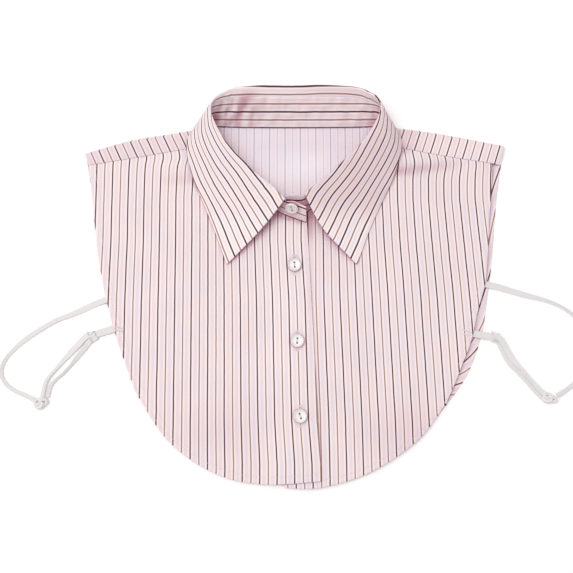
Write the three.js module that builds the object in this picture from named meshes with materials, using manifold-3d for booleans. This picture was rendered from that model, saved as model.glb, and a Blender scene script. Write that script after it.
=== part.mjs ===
// A dickey: a shirt collar on a short buttoned bib, with elastic ties at both sides.
// It lies flat on its back. Millimetres: X to the viewer's right, Y from hem to collar, Z up.
import * as THREE from 'three';
import Module from 'manifold-3d';
import { mergeVertices } from 'three/addons/utils/BufferGeometryUtils.js';

const wasm = await Module();
wasm.setup();

// Driving sizes of the cloth and of how it lies
const CLOTH = 1;              // wall of one doubled or interlined piece of cloth
const SEAM_GAP = 0.3;         // clearance left at a seam
const BACK_Z = 0.5;           // middle of the back panel's wall
const SHOULDER_R = 1.2;       // bend of the back panel over the shoulder
const FRONT_Z = BACK_Z + 2 * SHOULDER_R;
const PLACKET_RISE = 1.4;     // how far the left front rises to lie over the right one
const PLACKET_LIFT = [-30, -13];   // x over which the left front rises
const NECK_RISE = 1.4;        // how far the panels are lifted near the collar
const NECK_OVAL = { x: 88, y: 52, middleY: 108 };   // half sizes of the neck's oval in plan
const NECK_LIFT = [1.75, 1.05];    // sizes of that oval over which the fronts rise
const BACK_LIFT_Y = [118, 131];    // where the back rises to lie on the leaf's edge
const BACK_LIFT_X = [114, 100];
const NECK_EDGE = 1.35;       // from the middle of the stand's wall to a panel's neck edge
const BUTTON = { radius: 5.75, thickness: 2.4, rim: 1.3, hollow: 0.7, bevel: 0.6, under: 0.9, foot: 0.8 };
const BUTTON_HOLE = { radius: 0.8, fromMiddle: 1.5 };
const BUTTON_LIFT = 0.8;      // height of the collar button over its slightly bent tab
const TIE_W = 4.6;
const TIE_T = 0.8;
const TAB_W = 6;
const TAB_T = 0.9;

// Outline of each side, x and y from the turn of the hem up to the shoulder
const LEFT_SIDE = [
  [-134.3, -96.5],
  [-155.3, -42.0],
  [-170.0, 14.4],
  [-179.0, 72.8],
  [-187.7, 116.5],
];
const RIGHT_BACK_SIDE = [
  [134.9, -96.4],
  [159.6, -41.7],
  [171.2, 14.9],
  [178.8, 73.4],
  [187.7, 123.6],
];
const RIGHT_FRONT_SIDE = [
  [133.0, -92.8],
  [154.9, -42.0],
  [165.6, 1.0],
  [173.7, 71.8],
  [184.4, 105.7],
];
// Rounded hem of the left and right front
const LEFT_HEM = [
  [-134.3, -96.5],
  [-106.1, -136.3],
  [-68.2, -162.2],
  [-27.7, -171.8],
  [20.9, -169.4],
];
const RIGHT_HEM = [
  [-9.0, -174.5],
  [20.1, -174.5],
  [61.5, -162.2],
  [101.3, -136.2],
  [133.0, -92.8],
];
const BACK_HEM = [
  [-134.3, -96.5],
  [-106.1, -135.3],
  [-68.2, -161.2],
  [-27.7, -170.8],
  [20.1, -173.5],
  [61.5, -161.2],
  [101.3, -135.4],
  [134.9, -96.4],
];
// Front edges of the placket, from hem to neck
const LEFT_PLACKET = [
  [20.9, -169.4],
  [17.0, -90.0],
  [13.8, -20.0],
  [10.2, 50.4],
];
const RIGHT_PLACKET = [
  [-9.0, -174.5],
  [-10.0, 58.0],
];
// Outermost line of the shoulder fold, from armhole to neck
const LEFT_FOLD = [
  [-187.7, 116.5],
  [-145.6, 129.2],
  [-96.0, 137.4],
  [-86.3, 139.6],
];
const RIGHT_FOLD = [
  [187.7, 123.6],
  [127.3, 135.6],
  [98.7, 139.2],
  [85.9, 140.6],
];
// Forward shoulder seam, from armhole to neck
const LEFT_SEAM = [
  [-184.0, 105.4],
  [-146.5, 111.8],
  [-96.7, 120.4],
];
const RIGHT_SEAM = [
  [184.4, 105.9],
  [146.7, 111.8],
  [96.9, 120.6],
];
const SEAM_ROW = 5.6;         // collar row at which the forward seam meets the neck
const FOLD_ROW = 7.7;         // collar row beside the shoulder fold
const BACK_ROW = 11.2;        // collar row at which the back of the neck seam begins
// Where a front panel's neck edge turns down to the top of its placket
const LEFT_NECK_TURN = [-13.6, 4.6];
const RIGHT_NECK_TURN = [12.5, -0.4];
// Shares of a front panel's grid: neck seam before its turn, shoulder seam before the neck
const NECK_SHARE = 0.8;
const SHOULDER_SHARE = 0.48;

// One half of the collar, a row for each section from the front opening to the centre back:
// neck seam, crest of the fold, belly of the leaf and outer edge of the leaf
const COLLAR_COLUMNS = [
  'seamX', 'seamY', 'seamZ', 'crestX', 'crestY', 'crestZ',
  'bellyX', 'bellyY', 'bellyZ', 'edgeX', 'edgeY', 'edgeZ',
];
const COLLAR = [
  [13.0, 62.0, 4.3, 8.6, 70.8, 19.4, 24.8, 45.4, 12.5, 56.4, 14.0, 5.0],
  [26.0, 71.5, 4.3, 19.8, 81.8, 20.0, 40.5, 62.0, 12.5, 66.3, 41.3, 5.3],
  [40.0, 83.5, 4.3, 34.1, 92.8, 20.5, 53.0, 78.0, 13.5, 73.1, 57.2, 5.8],
  [52.0, 94.5, 4.3, 45.0, 104.6, 21.0, 62.0, 92.0, 14.5, 80.2, 73.4, 6.4],
  [62.5, 105.0, 4.3, 55.0, 114.7, 21.5, 71.0, 104.0, 15.5, 87.0, 88.0, 7.0],
  [71.5, 116.5, 4.3, 63.2, 124.8, 22.3, 78.0, 115.5, 16.5, 91.0, 100.0, 7.4],
  [79.5, 128.5, 4.3, 70.3, 137.6, 23.2, 84.0, 128.0, 17.0, 94.7, 114.0, 7.6],
  [83.6, 136.0, 4.2, 73.8, 146.0, 24.0, 86.0, 137.0, 16.5, 95.6, 127.0, 7.6],
  [84.6, 139.4, 4.0, 74.5, 150.0, 24.2, 85.0, 142.5, 15.5, 93.0, 134.2, 7.6],
  [84.6, 142.0, 3.6, 74.4, 153.5, 24.2, 84.0, 147.5, 12.5, 90.2, 140.4, 5.4],
  [82.5, 143.8, 3.4, 73.4, 157.0, 24.0, 82.5, 151.5, 7.5, 89.0, 142.2, 1.8],
  [78.0, 143.8, 3.0, 70.0, 161.4, 23.5, 77.5, 159.0, 1.8, 85.0, 139.5, 0.6],
  [70.0, 143.0, 2.4, 62.0, 166.8, 22.0, 67.0, 168.5, 0.8, 72.0, 141.0, 0.6],
  [55.0, 142.2, 2.4, 50.5, 170.6, 21.0, 54.5, 174.0, 0.6, 55.0, 144.5, 0.6],
  [27.0, 141.9, 2.4, 25.0, 172.4, 20.0, 26.0, 176.6, 0.6, 26.0, 147.5, 0.6],
  [0.0, 141.8, 2.4, 0.0, 172.4, 20.0, 0.0, 176.8, 0.6, 0.0, 149.0, 0.6],
];
// The collar lies a little askew: its middle line wanders to the right towards the back
const LEAN_FRONT = -2.8;
const LEAN_GROWTH = 4.5;
const LEAN_START = 15;
const LEAN_LENGTH = 155;
const FRONT_SLIP = new THREE.Vector3(2, 2.2, 0);   // the left front end lies lower than the right
const LEAF_GAP = 0.45;           // clearance between stand and leaf along the cloth
const SEAM_SHARE_FRONT = 0.14;   // share of crest-to-seam height that the leaf holds inside
const SEAM_SHARE_BACK = 0.24;
const ROLL_IN = 0.6;             // the fold's roll, measured from the crest
const ROLL_OUT = 2.8;
const ROLL_UP = 0.4;
const EDGE_SHARE = 0.35;         // how far up the leaf its straight outer part reaches

// Ends of the stand past the leaf: buttoned tab on the left, hidden end on the right
const STAND_END_COLUMNS = ['seamX', 'seamY', 'seamZ', 'topX', 'topY', 'topZ'];
const LEFT_TAB = [
  [9.6, 51.7, 5.7, 9.2, 61.6, 17.8],
  [-3.4, 56.6, 5.7, -1.0, 66.2, 18.8],
];
const RIGHT_END = [
  [3.0, 59.8, 4.3, 1.0, 72.4, 19.2],
  [-6.5, 60.8, 4.3, -8.0, 71.6, 18.6],
];

// Buttons down the placket, and the one on the stand's tab
const FRONT_BUTTONS = [
  { name: 'front_button_1', x: -0.5, y: 13.0 },
  { name: 'front_button_2', x: 1.7, y: -53.4 },
  { name: 'front_button_3', x: 4.0, y: -116.8 },
];
const COLLAR_BUTTON_ALONG = 1.05;   // stand row counted from the tab's end
const COLLAR_BUTTON_UP = 0.6;       // share of the stand's height

// Routes of the elastic: x, y, height of its middle
const LONG_LEFT = [
  [-156.5, -15.1, 1.7], [-163.9, -17.2, 1.7], [-172.3, -20.3, 0.7], [-181.1, -24.6, 0.5],
  [-194.0, -30.2, 0.5], [-206.2, -35.1, 0.5], [-219.5, -43.1, 0.5], [-232.0, -52.2, 0.5],
  [-242.6, -62.6, 0.5], [-248.7, -72.3, 0.5], [-249.5, -81.8, 0.5], [-244.7, -89.8, 0.5],
  [-237.0, -95.3, 0.5], [-228.4, -99.1, 0.9], [-219.5, -103.3, 2.2],
];
const LONG_RIGHT = [
  [157.5, -1.6, 1.7], [166.0, -3.5, 1.7], [176.0, -5.7, 1.3], [187.0, -9.1, 0.5],
  [200.7, -13.0, 0.5], [213.8, -16.6, 0.5], [224.9, -20.7, 0.5], [235.2, -26.7, 0.5],
  [243.9, -35.0, 0.5], [249.7, -45.5, 0.5], [252.4, -57.9, 0.5], [250.7, -70.0, 0.5],
  [245.0, -80.3, 0.5], [237.1, -88.4, 0.5], [229.1, -94.5, 0.9], [220.6, -99.4, 2.2],
];
const OUTER_LEFT = [
  [-178.8, -48.9, 1.3], [-184.9, -55.2, 1.0], [-191.2, -62.1, 0.6], [-197.0, -68.7, 0.6],
  [-202.8, -76.1, 0.9], [-208.7, -83.1, 1.5], [-211.4, -88.7, 2.1], [-212.4, -94.3, 2.7],
  [-212.7, -99.9, 3.3],
];
const INNER_LEFT = [
  [-175.6, -53.0, 0.5], [-180.4, -60.0, 0.5], [-186.2, -67.5, 0.5], [-191.7, -74.7, 0.5],
  [-197.5, -81.2, 0.5], [-203.4, -86.4, 0.5], [-206.7, -90.9, 0.5], [-208.3, -95.8, 0.7],
  [-208.9, -100.3, 1.2],
];
const OUTER_RIGHT = [
  [175.9, -51.6, 1.5], [179.9, -59.1, 1.7], [184.8, -68.6, 1.7], [191.2, -76.5, 1.7],
  [197.5, -84.0, 1.7], [202.6, -90.4, 1.9], [205.9, -94.3, 2.4], [208.8, -97.4, 3.2],
];
const INNER_RIGHT = [
  [173.7, -53.0, 0.5], [177.1, -60.6, 0.5], [181.7, -70.6, 0.5], [188.4, -78.9, 0.5],
  [195.2, -86.5, 0.5], [200.7, -93.2, 0.5], [204.3, -97.2, 0.5], [207.6, -100.5, 1.1],
];
const TAB_LEFT = [[-151.0, -41.2, 1.7], [-158.5, -43.3, 1.7], [-166.0, -45.6, 1.4], [-176.9, -49.1, 0.8]];
const TAB_RIGHT = [[147.0, -45.6, 1.7], [156.0, -47.2, 1.7], [163.0, -48.4, 1.6], [173.6, -49.8, 0.8]];
const KNOTS = [
  { name: 'tie_knot_left', x: -213.6, y: -105.5, turn: 0.35 },
  { name: 'tie_knot_right', x: 214.5, y: -101.9, turn: -0.25 },
];
const KNOT_SIZE = { length: 13, width: 9.5, height: 5.2, lift: 0.1 };

// Colours and finish
const striped = new THREE.MeshStandardMaterial({ color: 0xf3dfe3, roughness: 0.85, metalness: 0 });
const button = new THREE.MeshStandardMaterial({ color: 0xf4f1ee, roughness: 0.25, metalness: 0 });
const elastic = new THREE.MeshStandardMaterial({ color: 0xeeeeec, roughness: 0.8, metalness: 0 });

// Small helpers
function smooth(low, high, value) {
  const share = Math.min(1, Math.max(0, (value - low) / (high - low)));
  return share * share * (3 - 2 * share);
}

function mix(a, b, share) {
  return a.clone().lerp(b, share);
}

function plan(points) {
  const curve = new THREE.SplineCurve(points.map(([x, y]) => new THREE.Vector2(x, y)));
  return (share) => curve.getPointAt(Math.min(1, Math.max(0, share)));
}

function reversed(curve) {
  return (share) => curve(1 - share);
}

// Two plan curves, one after the other, meeting at the given share
function joined(first, second, meet) {
  return (share) => (share <= meet ? first(share / meet) : second((share - meet) / (1 - meet)));
}

// A patch between four plan curves
function patch(bottom, top, left, right) {
  const corners = [bottom(0), bottom(1), top(0), top(1)];
  return (s, t) => {
    const across = bottom(s).multiplyScalar(1 - t).add(top(s).multiplyScalar(t));
    const along = left(t).multiplyScalar(1 - s).add(right(t).multiplyScalar(s));
    const low = mix(corners[0], corners[1], s);
    const high = mix(corners[2], corners[3], s);
    return across.add(along).sub(mix(low, high, t));
  };
}

// Height of the back panel's wall, lifted where the leaf's back lies under it
function backHeight(x, y) {
  const lift = smooth(...BACK_LIFT_Y, y) * smooth(...BACK_LIFT_X, Math.abs(x));
  return BACK_Z + NECK_RISE * lift;
}

// Height of a front panel's wall: lifted round the neck, and the left one over the placket
function frontHeight(x, y, side) {
  const fromNeck = Math.hypot(x / NECK_OVAL.x, (y - NECK_OVAL.middleY) / NECK_OVAL.y);
  const neck = NECK_RISE * smooth(...NECK_LIFT, fromNeck);
  const placket = side < 0 ? PLACKET_RISE * smooth(...PLACKET_LIFT, x) : 0;
  return FRONT_Z + neck + placket;
}

// A sheet with a wall: the grid holds its middle, and present tells which cells are cloth
function shell(grid, wall, present = () => true) {
  const columns = grid.length;
  const rows = grid[0].length;
  const normals = grid.map((column) => column.map(() => new THREE.Vector3()));
  const isCloth = (i, j) => i >= 0 && j >= 0 && i < columns - 1 && j < rows - 1 && present(i, j);
  const corners = (i, j) => [[i, j], [i + 1, j], [i + 1, j + 1], [i, j + 1]];
  for (let i = 0; i < columns - 1; i += 1) {
    for (let j = 0; j < rows - 1; j += 1) {
      if (isCloth(i, j)) {
        const [a, b, c, d] = corners(i, j).map(([p, q]) => grid[p][q]);
        const normal = c.clone().sub(a).cross(d.clone().sub(b)).normalize();
        corners(i, j).forEach(([p, q]) => normals[p][q].add(normal));
      }
    }
  }
  const positions = [];
  const numbers = new Map();
  const vertex = (i, j, face) => {
    const key = `${i},${j},${face}`;
    if (!numbers.has(key)) {
      const offset = normals[i][j].clone().normalize().multiplyScalar((face * wall) / 2);
      const place = grid[i][j].clone().add(offset);
      numbers.set(key, positions.length / 3);
      positions.push(place.x, place.y, place.z);
    }
    return numbers.get(key);
  };
  const index = [];
  for (let i = 0; i < columns - 1; i += 1) {
    for (let j = 0; j < rows - 1; j += 1) {
      if (isCloth(i, j)) {
        const [a, b, c, d] = corners(i, j);
        const rising = grid[i][j].distanceTo(grid[i + 1][j + 1]);
        const falling = grid[i + 1][j].distanceTo(grid[i][j + 1]);
        const halves = rising <= falling ? [[a, b, c], [a, c, d]] : [[a, b, d], [b, c, d]];
        halves.forEach((half) => {
          index.push(...half.map(([p, q]) => vertex(p, q, 1)));
          index.push(...half.map(([p, q]) => vertex(p, q, -1)).reverse());
        });
        const beside = [isCloth(i, j - 1), isCloth(i + 1, j), isCloth(i, j + 1), isCloth(i - 1, j)];
        const loop = [a, b, c, d, a];
        beside.forEach((neighbour, side) => {
          if (!neighbour) {
            const [from, to] = [loop[side], loop[side + 1]];
            const lowFrom = vertex(from[0], from[1], -1);
            const lowTo = vertex(to[0], to[1], -1);
            const highFrom = vertex(from[0], from[1], 1);
            const highTo = vertex(to[0], to[1], 1);
            index.push(lowFrom, lowTo, highTo, lowFrom, highTo, highFrom);
          }
        });
      }
    }
  }
  const geometry = new THREE.BufferGeometry();
  geometry.setAttribute('position', new THREE.Float32BufferAttribute(positions, 3));
  geometry.setIndex(index);
  return geometry;
}

function gridOf(columns, rows, point) {
  const grid = [];
  for (let i = 0; i <= columns; i += 1) {
    grid.push([]);
    for (let j = 0; j <= rows; j += 1) {
      grid[i].push(point(i, j));
    }
  }
  return grid;
}

// Collar lines. Each runs from the left front end round the back to the right front end.
function leaned(point) {
  const share = (point.y - LEAN_START) / LEAN_LENGTH;
  point.x += LEAN_FRONT + LEAN_GROWTH * share * share;
  return point;
}

function collarPoint(row, column, side) {
  const at = COLLAR_COLUMNS.indexOf(column);
  return leaned(new THREE.Vector3(side * row[at], row[at + 1], row[at + 2]));
}

function collarPoints(column) {
  const left = COLLAR.map((row) => collarPoint(row, column, -1));
  const right = COLLAR.map((row) => collarPoint(row, column, 1));
  if (column === 'crestX') {
    left[0].add(new THREE.Vector3(FRONT_SLIP.x, -FRONT_SLIP.y, 0));
    right[0].add(FRONT_SLIP);
  }
  return [...left, ...right.reverse().slice(1)];
}

const LEAF_ROWS = 2 * COLLAR.length - 2;
const seamPoints = collarPoints('seamX');
const overPlacket = seamPoints.slice(0, 4);
overPlacket.forEach((point) => {
  point.z += PLACKET_RISE * smooth(...PLACKET_LIFT, point.x);
});
const crestPoints = collarPoints('crestX');
const topPoints = crestPoints.map((crest, number) => {
  const fromFront = Math.min(number, LEAF_ROWS - number) / (COLLAR.length - 1);
  const share = SEAM_SHARE_FRONT + (SEAM_SHARE_BACK - SEAM_SHARE_FRONT) * smooth(0, 1, fromFront);
  return mix(crest, seamPoints[number], share);
});

function line(points) {
  const curve = new THREE.CatmullRomCurve3(points, false, 'catmullrom', 0.5);
  return (row) => curve.getPoint(row / (points.length - 1));
}

const seamLine = line(seamPoints);
const topLine = line(topPoints);
const crestLine = line(crestPoints);
const bellyLine = line(collarPoints('bellyX'));
const edgeLine = line(collarPoints('edgeX'));

// Neck edge of the panels, clear of the stand's wall: beside it at the front and the shoulders,
// and before it at the back, where the stand leans away
function neckEdge(row, side = 1) {
  const step = 0.02;
  const before = seamLine(Math.max(0, row - step));
  const after = seamLine(Math.min(LEAF_ROWS, row + step));
  const along = new THREE.Vector2(after.x - before.x, after.y - before.y).normalize();
  const point = seamLine(row);
  const clear = side * NECK_EDGE;
  return new THREE.Vector2(point.x - along.y * clear, point.y + along.x * clear);
}

function neckSpan(from, to) {
  return (share) => neckEdge(from + (to - from) * share);
}

// Front panels, each a patch between placket, hem, side, shoulder seam and neck
function frontPanel(side) {
  const left = side < 0;
  const columns = 15;
  const rows = 14;
  const seamRow = left ? SEAM_ROW : LEAF_ROWS - SEAM_ROW;
  const neckPoint = neckEdge(seamRow);
  const seamEdge = (left ? LEFT_SEAM : RIGHT_SEAM).map(([x, y]) => [x, y - SEAM_GAP]);
  const seam = plan([...seamEdge, [neckPoint.x, neckPoint.y - SEAM_GAP]]);
  const placketTop = left ? LEFT_PLACKET.at(-1) : RIGHT_PLACKET.at(-1);
  const turn = left ? LEFT_NECK_TURN : RIGHT_NECK_TURN;
  const toPlacket = [placketTop[0] + turn[0], placketTop[1] + turn[1]];
  const neckEnd = neckEdge(left ? 0 : LEAF_ROWS);
  const collarEnd = plan([[neckEnd.x, neckEnd.y], toPlacket, placketTop]);
  const neckFront = neckSpan(seamRow, left ? 0 : LEAF_ROWS);
  const neck = joined(neckFront, collarEnd, NECK_SHARE);
  const topFromSide = joined(seam, neck, SHOULDER_SHARE);
  const outline = left ? LEFT_SIDE : RIGHT_FRONT_SIDE;
  const sideEdge = plan([...outline.slice(0, -1), seamEdge[0]]);
  const placket = plan(left ? LEFT_PLACKET : RIGHT_PLACKET);
  const surface = left
    ? patch(plan(LEFT_HEM), topFromSide, sideEdge, placket)
    : patch(plan(RIGHT_HEM), reversed(topFromSide), placket, sideEdge);
  const grid = gridOf(columns, rows, (i, j) => {
    const point = surface(i / columns, j / rows);
    return new THREE.Vector3(point.x, point.y, frontHeight(point.x, point.y, side));
  });
  return shell(grid, CLOTH);
}

// Back panel: flat from the hem to the shoulders, round the fold and forward to the seam
function backPanel() {
  const shoulder = 7;
  const neckCells = 10;
  const columns = 2 * shoulder + neckCells;
  const flatRows = 13;
  const bendRows = 4;
  const strapRows = 3;
  const inset = (points) => points.map(([x, y]) => [x, y - SHOULDER_R]);
  const leftFold = plan(inset(LEFT_FOLD));
  const rightFold = plan(inset(RIGHT_FOLD));
  const top = (share) => {
    const column = share * columns;
    if (column <= shoulder) return leftFold(column / shoulder);
    if (column >= shoulder + neckCells) return rightFold((columns - column) / shoulder);
    const along = (column - shoulder - 1) / (neckCells - 2);
    return neckEdge(BACK_ROW + (LEAF_ROWS - 2 * BACK_ROW) * along, -1);
  };
  const sideOf = (points, foldStart) => plan([...points.slice(0, -1), [foldStart.x, foldStart.y]]);
  const flat = patch(
    plan(BACK_HEM),
    top,
    sideOf(LEFT_SIDE, leftFold(0)),
    sideOf(RIGHT_BACK_SIDE, rightFold(0)),
  );
  const strap = (fold, seam, seamRow, foldRow) => {
    const neckPoint = neckEdge(seamRow);
    const seamEdge = plan([...seam, [neckPoint.x, neckPoint.y]]);
    const armholeEnd = plan([[fold(0).x, fold(0).y], [seam[0][0], seam[0][1]]]);
    const neckEnd = (share) => (share <= 0 ? fold(1) : neckEdge(foldRow + (seamRow - foldRow) * share));
    return patch(fold, seamEdge, armholeEnd, neckEnd);
  };
  const straps = {
    left: strap(leftFold, LEFT_SEAM, SEAM_ROW, FOLD_ROW),
    right: strap(rightFold, RIGHT_SEAM, LEAF_ROWS - SEAM_ROW, LEAF_ROWS - FOLD_ROW),
  };
  const overShoulder = (i, j) => {
    const left = i <= shoulder;
    const share = left ? i / shoulder : (columns - i) / shoulder;
    const start = flat(i / columns, 1);
    const low = backHeight(start.x, start.y);
    if (j <= bendRows) {
      const turn = (Math.PI * j) / bendRows;
      const out = SHOULDER_R * Math.sin(turn);
      return new THREE.Vector3(start.x, start.y + out, low + SHOULDER_R * (1 - Math.cos(turn)));
    }
    const along = (j - bendRows) / strapRows;
    const point = (left ? straps.left : straps.right)(share, along);
    const seamHeight = frontHeight(point.x, point.y, 1);
    const height = low + 2 * SHOULDER_R + (seamHeight - low - 2 * SHOULDER_R) * along;
    return new THREE.Vector3(point.x, point.y, height);
  };
  const rows = flatRows + bendRows + strapRows;
  const grid = gridOf(columns, rows, (i, j) => {
    const onShoulder = i <= shoulder || i >= columns - shoulder;
    if (j <= flatRows || !onShoulder) {
      const point = flat(i / columns, Math.min(1, j / flatRows));
      return new THREE.Vector3(point.x, point.y, backHeight(point.x, point.y));
    }
    return overShoulder(i, j - flatRows);
  });
  const present = (i, j) => j < flatRows || i < shoulder || i >= columns - shoulder;
  return shell(grid, CLOTH, present);
}

// Stand: from the end of the buttoned tab round the neck to the hidden end
const endPoint = (row, column) => {
  const at = STAND_END_COLUMNS.indexOf(column);
  return new THREE.Vector3(row[at], row[at + 1], row[at + 2]);
};
const standSeam = line([
  ...LEFT_TAB.map((row) => endPoint(row, 'seamX')),
  ...seamPoints,
  ...RIGHT_END.map((row) => endPoint(row, 'seamX')),
]);
const standTop = line([
  ...LEFT_TAB.map((row) => endPoint(row, 'topX')),
  ...topPoints,
  ...RIGHT_END.map((row) => endPoint(row, 'topX')),
]);
const STAND_ROWS = LEAF_ROWS + LEFT_TAB.length + RIGHT_END.length;

function standPoint(row, share) {
  return mix(standSeam(row), standTop(row), share);
}

function collarStand() {
  const columns = 2 * STAND_ROWS;
  const rows = 3;
  const grid = gridOf(columns, rows, (i, j) => standPoint((STAND_ROWS * i) / columns, j / rows));
  return shell(grid, CLOTH);
}

// Section of the leaf: up from the stand, over the roll and down to the outer edge
function leafSection(row) {
  const crest = crestLine(row);
  const belly = bellyLine(row);
  const edge = edgeLine(row);
  const top = topLine(row);
  const up = crest.clone().sub(top).normalize();
  const out = new THREE.Vector3(belly.x - crest.x, belly.y - crest.y, 0).normalize();
  const rollIn = crest.clone().addScaledVector(out, -ROLL_IN);
  const rollOut = crest.clone().addScaledVector(out, ROLL_OUT);
  rollIn.z += ROLL_UP;
  rollOut.z += ROLL_UP;
  const foot = top.addScaledVector(up, LEAF_GAP);
  return [foot, rollIn, rollOut, belly, mix(edge, belly, EDGE_SHARE), edge];
}

// Smooth curve through the middles of a control polygon's legs
function rounded(control, share) {
  const legs = control.length - 2;
  const at = Math.min(legs - 1, Math.floor(share * legs));
  const local = share * legs - at;
  const start = at === 0 ? control[0] : mix(control[at], control[at + 1], 0.5);
  const end = at === legs - 1 ? control[at + 2] : mix(control[at + 1], control[at + 2], 0.5);
  return mix(mix(start, control[at + 1], local), mix(control[at + 1], end, local), local);
}

function collarLeaf() {
  const columns = 2 * LEAF_ROWS - 8;
  const rows = 10;
  const grid = gridOf(columns, rows, (i, j) => {
    const section = leafSection((LEAF_ROWS * i) / columns);
    return rounded(section, j / rows);
  });
  return shell(grid, CLOTH);
}

// Buttons: a turned disc with a rim, and two holes cut through it
function solidOf(geometry) {
  const bare = geometry.clone();
  bare.deleteAttribute('normal');
  bare.deleteAttribute('uv');
  const merged = mergeVertices(bare, 1e-4);
  return new wasm.Manifold(new wasm.Mesh({
    numProp: 3,
    vertProperties: new Float32Array(merged.attributes.position.array),
    triVerts: new Uint32Array(merged.index.array),
  }));
}

function geometryOf(solid) {
  const mesh = solid.getMesh();
  const geometry = new THREE.BufferGeometry();
  geometry.setAttribute('position', new THREE.Float32BufferAttribute(mesh.vertProperties, 3));
  geometry.setIndex([...mesh.triVerts]);
  return geometry;
}

function buttonShape() {
  const { radius, thickness, rim, hollow, bevel, under, foot } = BUTTON;
  const profile = [
    [0, 0],
    [radius - under, 0],
    [radius, foot],
    [radius, thickness - bevel],
    [radius - bevel, thickness],
    [radius - rim, thickness],
    [radius - rim - hollow, thickness - hollow],
    [0, thickness - hollow],
  ].map(([x, y]) => new THREE.Vector2(x, y));
  const disc = new THREE.LatheGeometry(profile, 20);
  disc.rotateX(Math.PI / 2);
  let solid = solidOf(disc);
  [-1, 1].forEach((side) => {
    const { radius: drill, fromMiddle } = BUTTON_HOLE;
    const hole = new THREE.CylinderGeometry(drill, drill, 3 * thickness, 8);
    hole.rotateX(Math.PI / 2);
    hole.translate(0, side * fromMiddle, 0);
    solid = solid.subtract(solidOf(hole));
  });
  return geometryOf(solid);
}

// Elastic: a flat section with bevelled edges swept along its route
function flatSection(width, thickness) {
  const half = thickness / 2;
  const side = width / 2;
  const nose = 0.4 * half;
  return new THREE.Shape([
    [-half, -side + half], [-nose, -side], [nose, -side], [half, -side + half],
    [half, side - half], [nose, side], [-nose, side], [-half, side - half],
  ].map(([x, y]) => new THREE.Vector2(x, y)));
}

function strip(route, width, thickness, stepsPerPoint) {
  const points = route.map(([x, y, z]) => new THREE.Vector3(x, y, z));
  const path = new THREE.CatmullRomCurve3(points);
  const steps = Math.round(stepsPerPoint * (points.length - 1));
  const shape = flatSection(width, thickness);
  return new THREE.ExtrudeGeometry(shape, { steps, bevelEnabled: false, extrudePath: path });
}

function knot() {
  const lump = new THREE.SphereGeometry(0.5, 12, 8);
  lump.scale(KNOT_SIZE.length, KNOT_SIZE.width, KNOT_SIZE.height);
  return lump;
}

// Assembly
const dickey = new THREE.Group();

function add(name, geometry, material) {
  const mesh = new THREE.Mesh(geometry, material.clone());
  mesh.name = name;
  dickey.add(mesh);
  return mesh;
}

add('back_panel', backPanel(), striped);
add('front_panel_left', frontPanel(-1), striped);
add('front_panel_right', frontPanel(1), striped);
add('collar_stand', collarStand(), striped);
add('collar_leaf', collarLeaf(), striped);

FRONT_BUTTONS.forEach(({ name, x, y }) => {
  const disc = add(name, buttonShape(), button);
  disc.position.set(x, y, frontHeight(x, y, -1) + CLOTH / 2 + SEAM_GAP);
});

const buttonSpot = standPoint(COLLAR_BUTTON_ALONG, COLLAR_BUTTON_UP);
const tabAlong = standPoint(0.8 * COLLAR_BUTTON_ALONG, COLLAR_BUTTON_UP).sub(buttonSpot);
const tabUp = standPoint(COLLAR_BUTTON_ALONG, 1).sub(buttonSpot);
const tabFacing = tabAlong.clone().cross(tabUp).normalize();
const collarButton = add('collar_button', buttonShape(), button);
collarButton.quaternion.setFromUnitVectors(new THREE.Vector3(0, 0, 1), tabFacing);
collarButton.position.copy(buttonSpot.addScaledVector(tabFacing, CLOTH / 2 + BUTTON_LIFT));

add('tie_tab_left', strip(TAB_LEFT, TAB_W, TAB_T, 2), elastic);
add('tie_tab_right', strip(TAB_RIGHT, TAB_W, TAB_T, 2), elastic);
add('tie_long_left', strip(LONG_LEFT, TIE_W, TIE_T, 1.5), elastic);
add('tie_long_right', strip(LONG_RIGHT, TIE_W, TIE_T, 1.5), elastic);
add('tie_outer_left', strip(OUTER_LEFT, TIE_W, TIE_T, 1.5), elastic);
add('tie_outer_right', strip(OUTER_RIGHT, TIE_W, TIE_T, 1.5), elastic);
add('tie_inner_left', strip(INNER_LEFT, TIE_W, TIE_T, 1.5), elastic);
add('tie_inner_right', strip(INNER_RIGHT, TIE_W, TIE_T, 1.5), elastic);

KNOTS.forEach(({ name, x, y, turn }) => {
  const lump = add(name, knot(), elastic);
  lump.position.set(x, y, KNOT_SIZE.height / 2 + KNOT_SIZE.lift);
  lump.rotation.z = turn;
});

export default dickey;
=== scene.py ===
"""A striped cotton dickey: a shirt collar on a short buttoned bib, with elastic ties at both sides.

The tables are in millimetres, in the part's frame: X to the viewer's right, Y from the hem to the
collar, Z up from the surface that it lies on. A mesh is scaled to metres when it is made.
"""

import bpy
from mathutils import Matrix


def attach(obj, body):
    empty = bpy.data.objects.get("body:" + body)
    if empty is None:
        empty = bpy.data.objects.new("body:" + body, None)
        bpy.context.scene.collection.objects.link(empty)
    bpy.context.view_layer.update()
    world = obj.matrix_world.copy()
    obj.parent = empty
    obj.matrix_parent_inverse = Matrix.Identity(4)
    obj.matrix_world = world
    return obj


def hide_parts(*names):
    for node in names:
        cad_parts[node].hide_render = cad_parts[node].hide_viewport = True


bl_info = {
    "name": "Striped cotton dickey",
    "version": (1, 0, 0),
    "blender": (4, 5, 0),
    "location": "View3D > Sidebar > Dickey",
    "description": "Makes a striped dickey with its collar, buttons, stitching and elastic ties",
    "category": "Add Mesh",
}

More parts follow.
